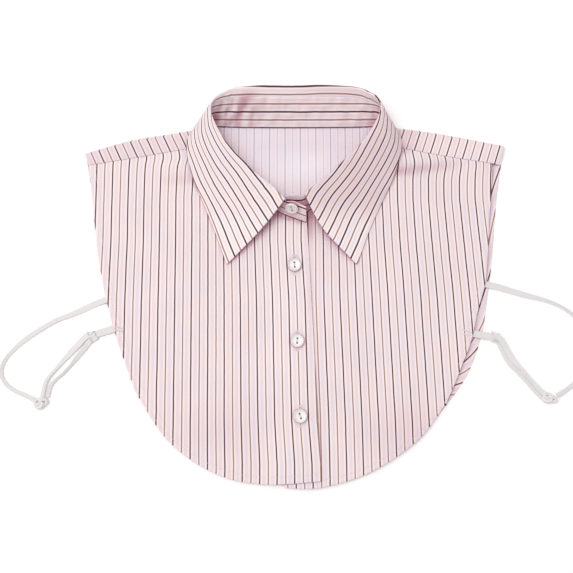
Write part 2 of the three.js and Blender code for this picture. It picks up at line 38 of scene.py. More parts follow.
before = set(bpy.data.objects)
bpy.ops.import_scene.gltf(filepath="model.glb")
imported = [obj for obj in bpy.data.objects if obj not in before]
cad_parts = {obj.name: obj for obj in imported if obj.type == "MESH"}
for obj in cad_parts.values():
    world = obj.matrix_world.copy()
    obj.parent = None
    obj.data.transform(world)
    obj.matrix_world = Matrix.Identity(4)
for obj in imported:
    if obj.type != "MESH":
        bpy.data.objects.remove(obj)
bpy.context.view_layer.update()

import math

import bmesh
import bpy
import numpy as np
from bpy.props import FloatProperty, FloatVectorProperty, PointerProperty
from mathutils import Matrix, Vector

MM = 0.001
BODY = "root"

# Stage: camera, floor, soft key light and the light of the room, in metres and degrees
CAMERA_SENSOR, CAMERA_LENS = 36.0, 50.55
CAMERA_AWAY, CAMERA_TILT = 0.7, 12
CAMERA_TARGET = (-0.0075, -0.005, 0.0)
FLOOR_REACH = 3.0
KEY_PLACE, KEY_SIZE, KEY_POWER = (-0.85, 0.3, 2.3), 2.0, 34.5
KEY_COLOUR = (0.94, 1.0, 0.975)
ROOM_COLOUR, ROOM_STRENGTH = (1.0, 0.94, 0.965, 1), 0.6

# How the cloth lies: middle of the back's wall, radius of its shoulder folds, middle of the fronts' wall
BACK_Z = 0.5
SHOULDER_R = 1.2
FRONT_Z = BACK_Z + 2 * SHOULDER_R
# The left front rises over the placket between two places in x
PLACKET_RISE, PLACKET_LIFT = 1.4, (-30, -13)
# The fronts rise towards an oval round the neck, and the back where the leaf's edge lies under it
NECK_RISE = 1.4
NECK_OVAL, NECK_LIFT = (88, 52, 108), (1.75, 1.05)
BACK_LIFT_Y, BACK_LIFT_X = (118, 131), (114, 100)
# How far the panels' neck edge keeps from the stand's middle, and how far a front laps over its strap
NECK_EDGE = 1.35
SEAM_LAP = 1.5
# At the shoulder seam the strap's edge rises, the front's edge drops and both are thinner
STRAP_EDGE_RISE, FRONT_EDGE_DROP, EDGE_THINNING = 0.15, 0.3, 0.2
STRAP_SWELL = 0.5
# Relief of the fronts, and the dimples under their buttons
RELIEF_MEAN, WAVE_RISE = 0.4, 0.45
WAVES_START = (1.0, 2.4)
DIMPLE_DEPTH, DIMPLE_REACH = 0.3, 9
# Cloth this far past the hem still counts as turned in, and a distance that is far from any hem
TURNED_EXTRA = 2.2
NO_HEM = 99.0

# Cells of the grids: along the piece and across it
SHOULDER_CELLS, FLAT_CELLS, BEND_CELLS, STRAP_CELLS = 48, 150, 10, 12
FRONT_CELLS = (115, 155)
STAND_CELLS = (280, 18)
LEAF_CELLS = (300, 60)
RIM_STEPS = 4
# Top edge of the back: a shoulder fold, a step, the neck seam, a step and the other shoulder fold
FOLD_END, TOP_END = 7, 24
TOP_SPANS = ((0, 7, SHOULDER_CELLS), (7, 8, 6), (8, 16, 76), (16, 17, 6), (17, 24, SHOULDER_CELLS))
LEFT_SPAN, RIGHT_SPAN = slice(0, SHOULDER_CELLS + 1), slice(-SHOULDER_CELLS - 1, None)

# Outlines of the panels, x and y
LEFT_SIDE = [(-134.3, -96.5), (-155.3, -42.0), (-170.0, 14.4), (-179.0, 72.8), (-187.7, 116.5)]
RIGHT_BACK_SIDE = [
    (134.9, -97.4), (143.9, -84.5), (151.0, -70.7), (156.6, -56.4), (161.4, -40.4), (165.3, -19.8),
    (171.2, 14.9), (178.8, 73.4), (187.7, 123.6),
]
RIGHT_FRONT_SIDE = [
    (126.6, -105.2), (135.8, -86.0), (142.2, -71.0), (148.4, -57.0), (153.2, -41.0), (157.4, -25.0),
    (162.6, -9.0), (166.2, 8.0), (171.0, 55.0), (174.0, 80.0), (176.4, 104.9),
]
LEFT_HEM = [(-134.3, -96.5), (-106.1, -136.3), (-68.2, -162.2), (-27.7, -171.8), (20.9, -169.4)]
RIGHT_HEM = [(-9.0, -174.5), (20.1, -174.5), (61.5, -162.2), (101.3, -136.2), (126.6, -105.2)]
BACK_HEM = [
    (-134.3, -96.5), (-106.1, -135.3), (-68.2, -161.2), (-27.7, -170.8),
    (20.1, -173.5), (61.5, -161.2), (101.3, -135.4), (134.9, -97.4),
]
LEFT_PLACKET = [(20.9, -169.4), (17.0, -90.0), (13.8, -20.0), (10.2, 50.4)]
RIGHT_PLACKET = [(-9.0, -174.5), (-10.0, 58.0)]
LEFT_FOLD = [(-187.7, 116.5), (-145.6, 129.2), (-96.0, 137.4), (-86.3, 139.6)]
RIGHT_FOLD = [(187.7, 123.6), (127.3, 135.6), (98.7, 139.2), (85.9, 140.6)]
LEFT_SEAM = [(-184.0, 105.4), (-146.5, 111.8), (-96.7, 120.4)]
RIGHT_SEAM = [(184.4, 105.9), (146.7, 111.8), (96.9, 120.6)]
FRONT_RIGHT_SEAM = [(176.4, 106.9), (146.7, 111.8), (96.9, 120.6)]
# Collar rows where the front seams, the shoulder folds and the back's neck seam meet the neck
SEAM_ROW, FOLD_ROW, BACK_ROW = 5.6, 7.7, 11.2
# Between the collar's end and the placket's top a front's edge turns: where, from the placket's top
LEFT_NECK_TURN, RIGHT_NECK_TURN = (-13.6, 4.6), (12.5, -0.4)
# Shares that the shoulder seam takes of a front's top edge, and the collar of the rest
SHOULDER_SHARE, NECK_SHARE = 0.48, 0.8
# The right strap's corner droops between two places in x
CORNER_DROOP = (177, 184)

# Half of the collar from the front opening to the centre back: neck seam, crest, belly, edge
COLLAR = np.array([
    (13.0, 62.0, 4.3, 8.6, 70.8, 19.4, 24.8, 45.4, 12.5, 56.4, 14.0, 5.0),
    (26.0, 71.5, 4.3, 19.8, 81.8, 20.0, 40.5, 62.0, 12.5, 66.3, 41.3, 5.3),
    (40.0, 83.5, 4.3, 34.1, 92.8, 20.5, 53.0, 78.0, 13.5, 73.1, 57.2, 5.8),
    (52.0, 94.5, 4.3, 45.0, 104.6, 21.0, 62.0, 92.0, 14.5, 80.2, 73.4, 6.4),
    (62.5, 105.0, 4.3, 55.0, 114.7, 21.5, 71.0, 104.0, 15.5, 87.0, 88.0, 7.0),
    (71.5, 116.5, 4.3, 63.2, 124.8, 22.3, 78.0, 115.5, 16.5, 91.0, 100.0, 7.4),
    (79.5, 128.5, 4.3, 70.3, 137.6, 23.2, 84.0, 128.0, 17.0, 94.7, 114.0, 7.6),
    (83.6, 136.0, 4.2, 73.8, 146.0, 24.0, 86.0, 137.0, 16.5, 95.6, 127.0, 7.6),
    (84.6, 139.4, 4.0, 74.5, 150.0, 24.2, 85.0, 142.5, 15.5, 93.0, 134.2, 7.6),
    (84.6, 142.0, 3.6, 74.4, 153.5, 24.2, 84.0, 147.5, 12.5, 90.2, 140.4, 5.4),
    (82.5, 143.8, 3.4, 73.4, 157.0, 24.0, 82.5, 151.5, 7.5, 89.0, 142.2, 1.8),
    (78.0, 143.8, 3.0, 70.0, 161.4, 23.5, 77.5, 159.0, 1.8, 85.0, 139.5, 0.6),
    (70.0, 143.0, 2.4, 62.0, 166.8, 22.0, 67.0, 168.5, 0.8, 72.0, 141.0, 0.6),
    (55.0, 142.2, 2.4, 50.5, 170.6, 21.0, 54.5, 174.0, 0.6, 55.0, 144.5, 0.6),
    (27.0, 141.9, 2.4, 25.0, 172.4, 20.0, 26.0, 176.6, 0.6, 26.0, 147.5, 0.6),
    (0.0, 141.8, 2.4, 0.0, 172.4, 20.0, 0.0, 176.8, 0.6, 0.0, 149.0, 0.6),
])
SEAM, CREST, BELLY, EDGE = 0, 3, 6, 9
LAST_ROW = 2 * len(COLLAR) - 2
# The collar leans: its shift in x, and how that grows with the square of the way from a place in y
LEAN_FRONT, LEAN_GROWTH, LEAN_START, LEAN_LENGTH = -2.8, 4.5, 15, 155
# The crest's front ends slip to the right, the left one towards the hem and the right one away from it
FRONT_SLIP = (2, 2.2)
# The leaf starts a gap above the stand, which ends at a share of the way down from crest to neck seam
LEAF_GAP = 0.45
SEAM_SHARE_FRONT, SEAM_SHARE_BACK = 0.14, 0.24
# How far the leaf's roll reaches in, out and up from the crest, and where it straightens to the edge
ROLL_IN, ROLL_OUT, ROLL_UP, EDGE_SHARE = 0.6, 2.8, 0.4, 0.35
# The stand's two ends in front of the leaf: seam and top
LEFT_TAB = np.array([(9.6, 51.7, 5.7, 9.2, 61.6, 17.8), (-3.4, 56.6, 5.7, -1.0, 66.2, 18.8)])
RIGHT_END = np.array([(3.0, 59.8, 4.3, 1.0, 72.4, 19.2), (-6.5, 60.8, 4.3, -8.0, 71.6, 18.6)])
STAND_LAST_ROW = LAST_ROW + len(LEFT_TAB) + len(RIGHT_END)
# Length of cloth that a collar row stands for in the leaf's wrinkles
LEAF_ROW_LENGTH = 14
# Stronger waves on the leaf's shoulders, and small pleats on its left roll: row and reach in rows
LEAF_WAVES = ((11.8, 1.5), (18.4, 1.2))
LEAF_PLEATS = (12.5, 0.6)

# Where the dark stripes run, counted in repeats of the pattern
# Fronts: height of the row, x of one dark stripe, repeat to its left and to its right
LEFT_STRIPE = 7
LEFT_STRIPES = np.array([
    (110.0, -76.0, 14.45, 14.0), (72.6, -77.0, 14.17, 13.8), (35.9, -76.3, 14.17, 13.58),
    (-17.6, -75.2, 14.35, 13.93), (-119.9, -73.7, 14.27, 14.1), (-156.6, -72.8, 14.4, 14.4),
])
RIGHT_STRIPE = 4
RIGHT_STRIPES = np.array([
    (110.0, 77.2, 13.2, 13.95), (72.6, 76.9, 13.2, 13.78), (35.9, 77.9, 13.3, 13.98),
    (-17.6, 80.3, 13.87, 14.1), (-119.9, 83.5, 13.9, 14.1), (-156.6, 83.8, 13.87, 14.0),
])
# Back: x and number of the stripe there
BACK_STRIPES = [
    (-247.5, -5), (-175.5, 0), (-103.5, 5), (-50.6, 9), (19.0, 14), (98.3, 20), (184.3, 26), (256.0, 31),
]
# Leaf: collar row from the front end, then the distances of the dark stripes from the outer edge
LEAF_LEFT = np.array([
    (0, 9.6, 24.4, 38.2, 51.8, 66.0), (0.5, 8.5, 22.6, 34.9, 47.9, 62.4), (1, 8.0, 21.3, 32.3, 44.4, 58.4),
    (1.5, 7.9, 20.6, 31.4, 43.2, 56.2), (2, 7.7, 19.5, 30.8, 42.6, 54.4), (2.5, 7.1, 17.9, 29.5, 41.0, 52.0),
    (3, 6.3, 16.7, 27.7, 38.9, 49.2), (3.5, 5.8, 16.4, 26.2, 37.2, 46.4), (4, 5.7, 16.4, 25.3, 36.0, 44.3),
    (4.5, 5.5, 16.0, 24.6, 34.9, 42.4), (5, 5.1, 15.3, 23.9, 33.8, 41.2), (5.5, 4.4, 14.6, 23.5, 32.9, 40.4),
    (6, 3.1, 13.8, 23.2, 31.9, 39.8), (6.5, 1.6, 12.9, 22.9, 31.0, 38.7), (7, 0.2, 12.0, 22.2, 30.1, 37.8),
    (7.5, -1, 10.6, 20.6, 28.7, 36.6), (8, -2, 9.2, 18.6, 27.0, 34.8), (9, -3.5, 6.5, 16.0, 25.0, 34.0),
    (10, -5, 5.5, 17.0, 28.7, 40.0), (11, -5, 9.0, 23.5, 38.0, 52.0), (12, 2.5, 16.5, 30.5, 44.5, 58.5),
    (13, 3.8, 17.8, 31.8, 45.8, 61.0), (14, 4.3, 18.3, 32.3, 46.3, 59.9), (15, 3.1, 17.1, 31.1, 45.1, 58.5),
])
LEAF_RIGHT = np.array([
    (0, 7.3, 22.0, 36.3, 50.8, 66.0), (0.5, 5.9, 20.5, 34.0, 47.7, 61.6), (1, 5.3, 19.6, 32.5, 45.2, 57.2),
    (1.5, 5.0, 18.9, 31.4, 43.3, 54.4), (2, 5.0, 17.9, 29.8, 41.6, 52.5), (2.5, 4.8, 16.8, 28.0, 39.6, 50.6),
    (3, 4.5, 15.9, 26.6, 38.0, 49.0), (3.5, 4.1, 15.2, 25.9, 37.4, 48.2), (4, 3.4, 14.6, 25.4, 37.0, 47.8),
    (4.5, 2.6, 13.9, 25.1, 36.7, 47.4), (5, 1.6, 13.1, 24.7, 36.3, 46.9), (5.5, 0.5, 12.3, 24.3, 35.7, 46.0),
    (6, -0.5, 11.9, 24.1, 34.7, 45.0), (6.5, -1, 11.8, 23.8, 33.5, 42.5), (7, -1.5, 11.5, 23.3, 32.2, 40.0),
    (8, -3, 10.0, 21.0, 29.4, 37.4), (9, -4, 8.0, 18.5, 28.2, 37.0), (10, -5, 7.0, 19.5, 31.9, 42.0),
    (11, -3, 12.0, 27.0, 41.5, 53.0), (12, 4.0, 18.0, 32.0, 46.0, 58.8), (13, 4.3, 18.3, 32.3, 46.3, 59.9),
    (14, 3.6, 17.6, 31.6, 45.6, 58.9), (15, 3.1, 17.1, 31.1, 45.1, 58.5),
])
# Stand: repeat and start of its stripes, and how much lower they run at two rows
STAND_REPEAT, STAND_OFFSET = 14.2, 0.5
STAND_DIP, STAND_DIP_ROWS = 2.2, (12.2, 21.8)
# Soft easing of the fronts' stripes below the shoulder seams: x, y, shift, reach in x and in y
STRIPE_SHIFTS = [(-100, 112, 2.0, 40, 7), (128, 106, 2.4, 42, 9)]
# Creases in the fronts: x, y, rise, reach in x and in y
CREASES = [
    (116, 111, 0.7, 34, 4), (106, 100, -1.0, 28, 5), (-104, 104, 0.8, 22, 5), (-98, 92, -0.8, 20, 5),
    (152, 80, -0.5, 20, 8), (150, 96, 0.5, 16, 7), (-60, 60, -0.4, 36, 9), (-62, 78, 0.4, 34, 9),
    (-150, 30, -0.5, 22, 16), (-150, 70, 0.4, 22, 18), (90, -40, -0.5, 30, 20), (95, 0, 0.4, 34, 20),
    (-70, -70, -0.5, 26, 24), (-60, -20, 0.4, 24, 26), (120, -80, 0.4, 20, 22), (60, -110, -0.4, 20, 26),
    (-110, -100, 0.4, 20, 20), (20, 30, 0.3, 12, 24), (30, -30, -0.4, 12, 30), (-30, -100, 0.4, 14, 30),
]
# Painted shade in hollows, creases and shadows, made pinker and darker as light that crosses pink cloth
# several times would make them, and, below nought, painted light on places made paler: x, y, depth, reach in
# x and in y
PAINTED_SHADE_SPOTS = [
    (-98, 91, 0.22, 22, 5), (93, 99, 0.6, 18, 4.5), (116, 102.5, 0.42, 18, 4.2), (95.6, 119, 0.8, 5, 4),
    (136, 106, 0.22, 12, 4), (12.5, 50, 0.9, 4, 14), (-13, 57.5, 0.9, 5, 2.5), (-4, 54.5, 0.9, 6, 2.2),
    (5, 51.5, 0.8, 5, 2.2), (-5, -40, -0.1, 20, 100), (95, -130, 0.2, 34, 28), (-60, -128, 0.14, 44, 28),
]
# Painted shade on the straps and the leaves where they are doubled or turn from the light, and below nought
# painted light: left and right
STRAP_PAINTED_SHADE = (0.16, 0.0)
LEAF_PAINTED_SHADE = (-0.08, 0.24)
# Painted light on the leaf's points
LEAF_POINT_PAINTED_LIGHT = -0.22
# Painted light on the back's inside: x, y, depth, reach in x and in y
BACK_PAINTED_LIGHT = (4, 102, -0.24, 38, 16)
# Painted shade on the right strap by the neck: depth, x where it starts and x where it is full
STRAP_NECK_PAINTED_SHADE = (0.25, 122, 100)
# Least and greatest painted shade; below nought it is painted light
PAINTED_SHADE_RANGE = (-0.5, 1)
# Painted shade in the stand's crinkles, where it is deepest, and the painted shadow of one deep crease that
# crosses the seam between stand and leaf
STAND_SHADE_X = -54
STAND_CREASE_SHADE_X, LEAF_CREASE_SHADE_X = -44, -42
SEAM_CREASE_SHADE, SEAM_CREASE_REACH = 0.7, 8

# Cotton: edges of the dark and the tan stripe from their middles, crisp and soft, and of the bands
# between them from the middle of the dark stripe
DARK_EDGE = (0.43, 0.66)
TAN_EDGE = (0.4, 0.62)
BAND_EDGES = (1.7, 2.5, 4.7, 5.5)
# How much of each colour the lining tint takes on the wrong side
WRONG_SIDE_FADE = {"ground": 0.7, "halo": 0.6, "dark": 0.65, "tan": 0.72}
# The collar is drawn in by its seams, so its repeats are shorter and each line takes more of them
DRAWN_IN = 1.4
WEAVE_YARN = 0.6
RIB_WIDTH, BRAID_LENGTH = 0.75, 1.1
# In metres: how near other cloth has to be for a place to count as a fold
FOLD_REACH = 0.016
# Inputs and output of a Mix node that carry its share and its colours
MIX_SHARE, MIX_FIRST, MIX_SECOND, MIX_RESULT = 0, 6, 7, 2

# Buttons: x, y and turn of the two holes in degrees
FRONT_BUTTONS = {
    "front_button_1": (-0.5, 13.0, 4),
    "front_button_2": (1.7, -53.4, -4),
    "front_button_3": (4.0, -116.8, 18),
}
COLLAR_BUTTON_ROW = 1.05
COLLAR_BUTTON_SHARE = 0.68
COLLAR_BUTTON_TURN = 20
BUTTON_GAP = 0.3
BUTTON_LIFT = 1.3
BUTTON_DROOP = (0.05, -0.28, -0.12)
# A button's outline as shares of its radius and height, and the angle above which its edges are sharp
BUTTON_OUTLINE = [
    (0.0, 0.0), (0.84, 0.0), (0.96, 0.22), (1.0, 0.5), (0.99, 0.8), (0.955, 0.96), (0.91, 1.0),
    (0.865, 0.96), (0.82, 0.84), (0.74, 0.77), (0.5, 0.75), (0.0, 0.75),
]
BUTTON_SHARP = 38
# In metres: its holes, the two strands through them and the shank of thread below
HOLE_AWAY, HOLE_RADII = 0.002, (0.00072, 0.00098)
STRAND_AWAY, STRAND_REACH, STRAND_DIP, STRAND_RADIUS = 0.0002, 0.00175, 0.0013, 0.00017
SHANK_ENDS, SHANK_RADIUS = (-0.0014, 0.0002), 0.0011

# Elastic: x, y, height of its middle, roll in degrees and share of its full width
LONG_LEFT = [
    (-156.5, -15.1, 1.7, 0, 1.17), (-163.9, -17.2, 1.7, 0, 1.17), (-172.3, -20.3, 0.8, 0, 1.17),
    (-181.1, -24.6, 0.6, 0, 1.2), (-194.0, -30.2, 0.8, 8, 1.02), (-206.2, -35.1, 1.0, 12, 0.9),
    (-219.5, -43.1, 0.9, 8, 0.94), (-232.0, -52.2, 0.7, 0, 0.98), (-242.6, -62.6, 0.9, -10, 0.76),
    (-248.7, -72.3, 1.2, -20, 0.76), (-249.5, -81.8, 1.2, -20, 0.8), (-244.7, -89.8, 1.0, -12, 0.76),
    (-237.0, -95.3, 0.8, 0, 0.8), (-228.4, -99.1, 1.3, 8, 0.76), (-219.5, -103.3, 2.4, 10, 0.9),
]
LONG_RIGHT = [
    (157.5, -1.6, 1.7, 0, 1.2), (166.0, -3.5, 1.7, 0, 1.2), (176.0, -5.7, 1.3, 0, 1.2),
    (187.0, -9.1, 0.6, 0, 1.2), (200.7, -13.0, 0.8, -6, 1.08), (213.8, -16.6, 1.1, -14, 0.8),
    (224.9, -20.7, 1.3, -24, 0.68), (235.2, -26.7, 1.2, -20, 0.68), (243.9, -35.0, 0.8, -8, 0.9),
    (249.7, -45.5, 0.6, 0, 0.9), (252.4, -57.9, 0.6, 0, 0.9), (250.7, -70.0, 0.8, 8, 0.9),
    (245.0, -80.3, 0.9, 12, 0.9), (237.1, -88.4, 0.8, 6, 0.85), (229.1, -94.5, 1.2, 0, 0.85),
    (220.6, -99.4, 2.4, 0, 0.85),
]
OUTER_LEFT = [
    (-171.4, -46.7, 2.6, 6, 1.15), (-178.8, -48.9, 2.2, 10, 1.2), (-184.9, -55.2, 1.4, 12, 1.2),
    (-191.2, -62.1, 1.1, 8, 1.13), (-197.0, -68.7, 1.1, 14, 0.95), (-202.8, -76.1, 1.5, 28, 0.68),
    (-208.7, -83.1, 2.0, 34, 0.72), (-211.4, -88.7, 2.4, 24, 0.75), (-212.4, -94.3, 2.8, 10, 0.75),
    (-212.9, -100.6, 3.3, 0, 0.8),
]
INNER_LEFT = [
    (-169.7, -49.1, 2.4, 0, 1.0), (-175.6, -53.0, 1.9, -8, 1.05), (-180.4, -60.0, 1.4, -16, 1.0),
    (-186.2, -67.5, 1.5, -26, 0.98), (-191.7, -74.7, 1.6, -34, 0.64), (-197.5, -81.2, 1.5, -34, 0.6),
    (-203.4, -86.4, 1.3, -26, 0.62), (-206.7, -90.9, 1.2, -16, 0.68), (-208.3, -95.8, 1.3, -8, 0.72),
    (-209.3, -101.0, 1.7, 0, 0.8),
]
OUTER_RIGHT = [
    (169.0, -47.7, 2.6, 0, 1.1), (175.9, -51.8, 2.3, 0, 1.1), (179.9, -59.1, 1.9, 6, 1.05),
    (184.8, -68.6, 2.0, 14, 1.05), (191.2, -76.5, 2.3, 28, 0.78), (197.5, -84.0, 2.3, 32, 0.74),
    (202.6, -90.4, 2.3, 24, 0.78), (205.9, -94.3, 2.6, 10, 0.8), (209.4, -98.1, 3.2, 0, 0.9),
]
INNER_RIGHT = [
    (167.4, -50.2, 2.3, 0, 1.1), (173.7, -53.2, 1.4, 0, 1.1), (177.1, -60.6, 0.55, 0, 1.05),
    (181.7, -70.6, 0.55, 0, 1.05), (188.4, -78.9, 0.65, 0, 0.78), (195.2, -86.5, 0.65, 0, 0.74),
    (200.7, -93.2, 0.65, 0, 0.78), (204.3, -97.2, 0.7, 0, 0.8), (208.0, -101.2, 1.2, 0, 0.9),
]
TAB_LEFT = [(-151.0, -41.2, 1.7), (-158.5, -43.3, 1.7), (-166.0, -45.6, 1.5), (-176.9, -49.1, 1.1)]
TAB_RIGHT = [(147.0, -45.6, 1.7), (156.0, -47.2, 1.7), (163.0, -48.4, 1.6), (173.6, -49.8, 1.1)]
# Ends of the sewn bars, x, y and z: across the strands on the tabs, and across the tabs through the cloth
STRAND_BARS = [
    ((-178.0, -45.5, 2.6), (-173.8, -53.9, 3.0)), ((-172.0, -44.5, 2.9), (-178.8, -52.5, 2.7)),
    ((168.6, -44.8, 2.6), (172.6, -54.2, 2.7)), ((174.8, -46.6, 2.4), (168.8, -53.4, 3.0)),
]
CLOTH_BARS = [
    ((-155.2, -43.1), (-147.6, -45.5)), ((-154.8, -40.5), (-148.0, -42.7)),
    ((143.2, -43.6), (150.6, -46.2)), ((143.6, -47.2), (150.2, -48.8)),
]
# Knots: x, y, turn in degrees, and how wide and deep their loops are
KNOTS = {"left": (-213.6, -105.5, 20, 1.7, 1.17), "right": (214.5, -101.9, -14, 1.87, 1.02)}
KNOT_RADIUS, KNOT_WAVE, KNOT_SHIFT = 2.0, 1.2, 0.55
KNOT_HEIGHT, KNOT_RISE, KNOT_LOWEST = 2.7, 0.9, 0.12
KNOT_WIDTH, KNOT_THICKNESS = 3.4, 2.6
TAB_WIDTH, TAB_THICKNESS, TAB_FOLD_R, TAB_APART = 6.0, 0.42, 0.42, 0.2
ELASTIC_LOWEST = 0.06

# Stitching: how far its lines lie inside the hem, inside the shoulder seam and above the neck seam
STITCH_INSET = 0.8
SEAM_STITCH_INSET = 1.8
STAND_STITCH_INSET = 1.6
STITCH_LIFT, BAR_LIFT = 0.02, 0.03
UNDER_STITCH_SINK = 0.14
# Buttonholes: half their length, half the gap in them, place of the end bars and half their length
HOLE_HALF, HOLE_SPREAD, HOLE_END, BAR_HALF = 8.3, 0.95, 8.6, 1.5
# Pitch, length and thread in metres
HOLE_STITCH = (0.0005, 0.0016, 0.0004)
BAR_STITCH = (0.00045, 0.0013, 0.0004)


# Colour and sizes that a user may change

def linear(code, alpha=1.0):
    """Turns an sRGB hex code into Blender's linear colour."""
    parts = [int(code[at:at + 2], 16) / 255 for at in (0, 2, 4)]
    return (*[p / 12.92 if p <= 0.04045 else ((p + 0.055) / 1.055) ** 2.4 for p in parts], alpha)


def colour_property(name, description, code):
    """A colour that shows as a swatch."""
    return FloatVectorProperty(name=name, description=description, size=4, subtype="COLOR",
                               min=0, max=1, default=linear(code))


def length_property(name, description, default):
    """A length in metres."""
    return FloatProperty(name=name, description=description, default=default, min=0.00001,
                         subtype="DISTANCE", unit="LENGTH", precision=5)


class DickeyClothSettings(bpy.types.PropertyGroup):
    """Sizes and colours of the striped cotton."""

    repeat: length_property("Stripe repeat", "From one dark stripe to the next", 0.014)
    thickness: length_property("Cloth thickness", "Wall of the doubled cloth", 0.0008)
    hem: length_property("Hem", "From the edge to the hem's stitching", 0.006)
    crease: FloatProperty(name="Creases", description="Depth of the soft creases", default=1.0,
                          min=0, max=2, subtype="FACTOR")
    ground: colour_property("Ground", "Lilac ground between the stripes", "EBDFE4")
    halo: colour_property("Light bands", "Pinkish white beside each stripe", "FAEDED")
    dark: colour_property("Dark stripe", "Plum brown yarn", "58363B")
    tan: colour_property("Tan stripe", "Tan yarn", "A4867B")
    shade: colour_property("Lining tint", "Pink that the wrong side takes", "E8E0EA")


class DickeyTrimSettings(bpy.types.PropertyGroup):
    """Sizes and colours of the buttons, thread and elastic."""

    button_width: length_property("Button width", "Across one button", 0.0115)
    button_height: length_property("Button height", "Thickness at the rim", 0.0024)
    elastic_width: length_property("Elastic width", "Width of the narrow elastic", 0.0046)
    elastic_thickness: length_property("Elastic thickness", "Thickness of the elastic", 0.0008)
    stitch: length_property("Stitch length", "Length of one stitch", 0.0022)
    stitch_pitch: length_property("Stitch pitch", "From one stitch to the next", 0.0029)
    thread: length_property("Thread thickness", "Diameter of the sewing thread", 0.00022)
    button_colour: colour_property("Button", "White of the buttons", "F4F2F0")
    thread_colour: colour_property("Thread", "Pinkish white thread", "FBF3F5")
    elastic_colour: colour_property("Elastic", "Off-white of the elastic", "EFEBEA")


# Curves and patches

def smooth(low, high, value):
    """Eases from 0 at low to 1 at high."""
    share = np.clip((np.asarray(value, float) - low) / (high - low), 0, 1)
    return share * share * (3 - 2 * share)


def catmull(points, position, extend=False):
    """Points on a smooth curve through points, where position 1 is the second one."""
    points = np.asarray(points, float)
    last = len(points) - 1
    position = np.clip(np.asarray(position, float), 0, last)
    at = np.minimum(position.astype(int), last - 1)
    weight = (position - at)[..., None]
    first = 2 * points[0] - points[1] if extend else points[0]
    final = 2 * points[-1] - points[-2] if extend else points[-1]
    padded = np.vstack([first, points, final])
    before, start, end, after = (padded[at + step] for step in range(4))
    leave, arrive = (end - before) / 2, (after - start) / 2
    cubic = 2 * start - 2 * end + leave + arrive
    square = -3 * start + 3 * end - 2 * leave - arrive
    return ((cubic * weight + square) * weight + leave) * weight + start


def lengths_along(points):
    """Distance of each point from the first, along the line."""
    steps = np.linalg.norm(np.diff(points, axis=0), axis=1)
    return np.concatenate([[0], np.cumsum(steps)])


def plan(points):
    """A curve in plan, followed by share of its length."""
    dense = catmull(points, np.linspace(0, len(points) - 1, 60 * (len(points) - 1) + 1))
    length = lengths_along(dense)
    length /= length[-1]

    def at(share):
        return np.stack([np.interp(share, length, dense[:, axis]) for axis in range(2)], axis=-1)

    return at


def line(points):
    """A curve in space, followed by row number."""
    return lambda row: catmull(points, row, extend=True)


def backwards(curve):
    """The same curve from its other end."""
    return lambda share: curve(1 - np.asarray(share, float))


def joined(first, second, meet):
    """Two curves, one after the other, that meet at a share."""
    def at(share):
        share = np.asarray(share, float)
        early = first(np.clip(share / meet, 0, 1))
        late = second(np.clip((share - meet) / (1 - meet), 0, 1))
        return np.where((share <= meet)[..., None], early, late)

    return at


def patch(bottom, top, left, right, columns, rows):
    """A grid of points between four curves, for the shares in columns and rows."""
    low, high = bottom(columns)[:, None], top(columns)[:, None]
    near, far = left(rows)[None], right(rows)[None]
    s, t = columns[:, None, None], rows[None, :, None]
    foot = bottom(0.0) * (1 - s) + bottom(1.0) * s
    head = top(0.0) * (1 - s) + top(1.0) * s
    return low * (1 - t) + high * t + near * (1 - s) + far * s - foot * (1 - t) - head * t


def distance_to(points, path):
    """Distance in plan from each point to the nearest one of a dense path."""
    flat = points[..., :2].reshape(-1, 2)
    nearest = np.full(len(flat), np.inf)
    for spot in path:
        nearest = np.minimum(nearest, np.hypot(flat[:, 0] - spot[0], flat[:, 1] - spot[1]))
    return nearest.reshape(points.shape[:-1])


def unit(vectors):
    """Vectors of the same direction that are one long."""
    return vectors / np.maximum(np.linalg.norm(vectors, axis=-1, keepdims=True), 1e-9)


def heading(path):
    """Direction of a path at each of its points."""
    return unit(np.gradient(path, axis=0))


def bell(value, at, reach):
    """1 at one value, fading to 0 on both sides of it."""
    return np.exp(-(((value - at) / reach) ** 2))


def swell(x, y, at_x, at_y, wide, tall):
    """1 at a place, fading to 0 round it over a reach in x and in y."""
    return bell(x, at_x, wide) * bell(y, at_y, tall)


def ripples(x, y, seed, longest, count=7):
    """Gentle irregular waves between -1 and 1."""
    chance = np.random.RandomState(seed)
    total = np.zeros(np.broadcast(x, y).shape)
    for number in range(count):
        turn, phase = chance.uniform(0, 2 * math.pi, 2)
        wave = longest * chance.uniform(0.4, 1)
        along = x * math.cos(turn) + y * math.sin(turn)
        total += np.sin(2 * math.pi * along / wave + phase + 0.9 * np.sin(y / longest * 3 + number))
    return total / math.sqrt(count) / 1.6


# Shape of the dickey

def back_height(x, y):
    """Height of the back panel, lifted where the leaf's edge lies under it."""
    return BACK_Z + NECK_RISE * smooth(*BACK_LIFT_Y, y) * smooth(*BACK_LIFT_X, np.abs(x))


def from_neck(x, y):
    """Distance from the middle of the neck, where 1 is on an oval round it."""
    across, up, middle = NECK_OVAL
    return np.hypot(x / across, (y - middle) / up)


def front_height(x, y, side):
    """Height of a front: lifted round the neck, and the left one over the placket."""
    neck = NECK_RISE * smooth(*NECK_LIFT, from_neck(x, y))
    placket = PLACKET_RISE * smooth(*PLACKET_LIFT, x) if side < 0 else 0
    return FRONT_Z + neck + placket


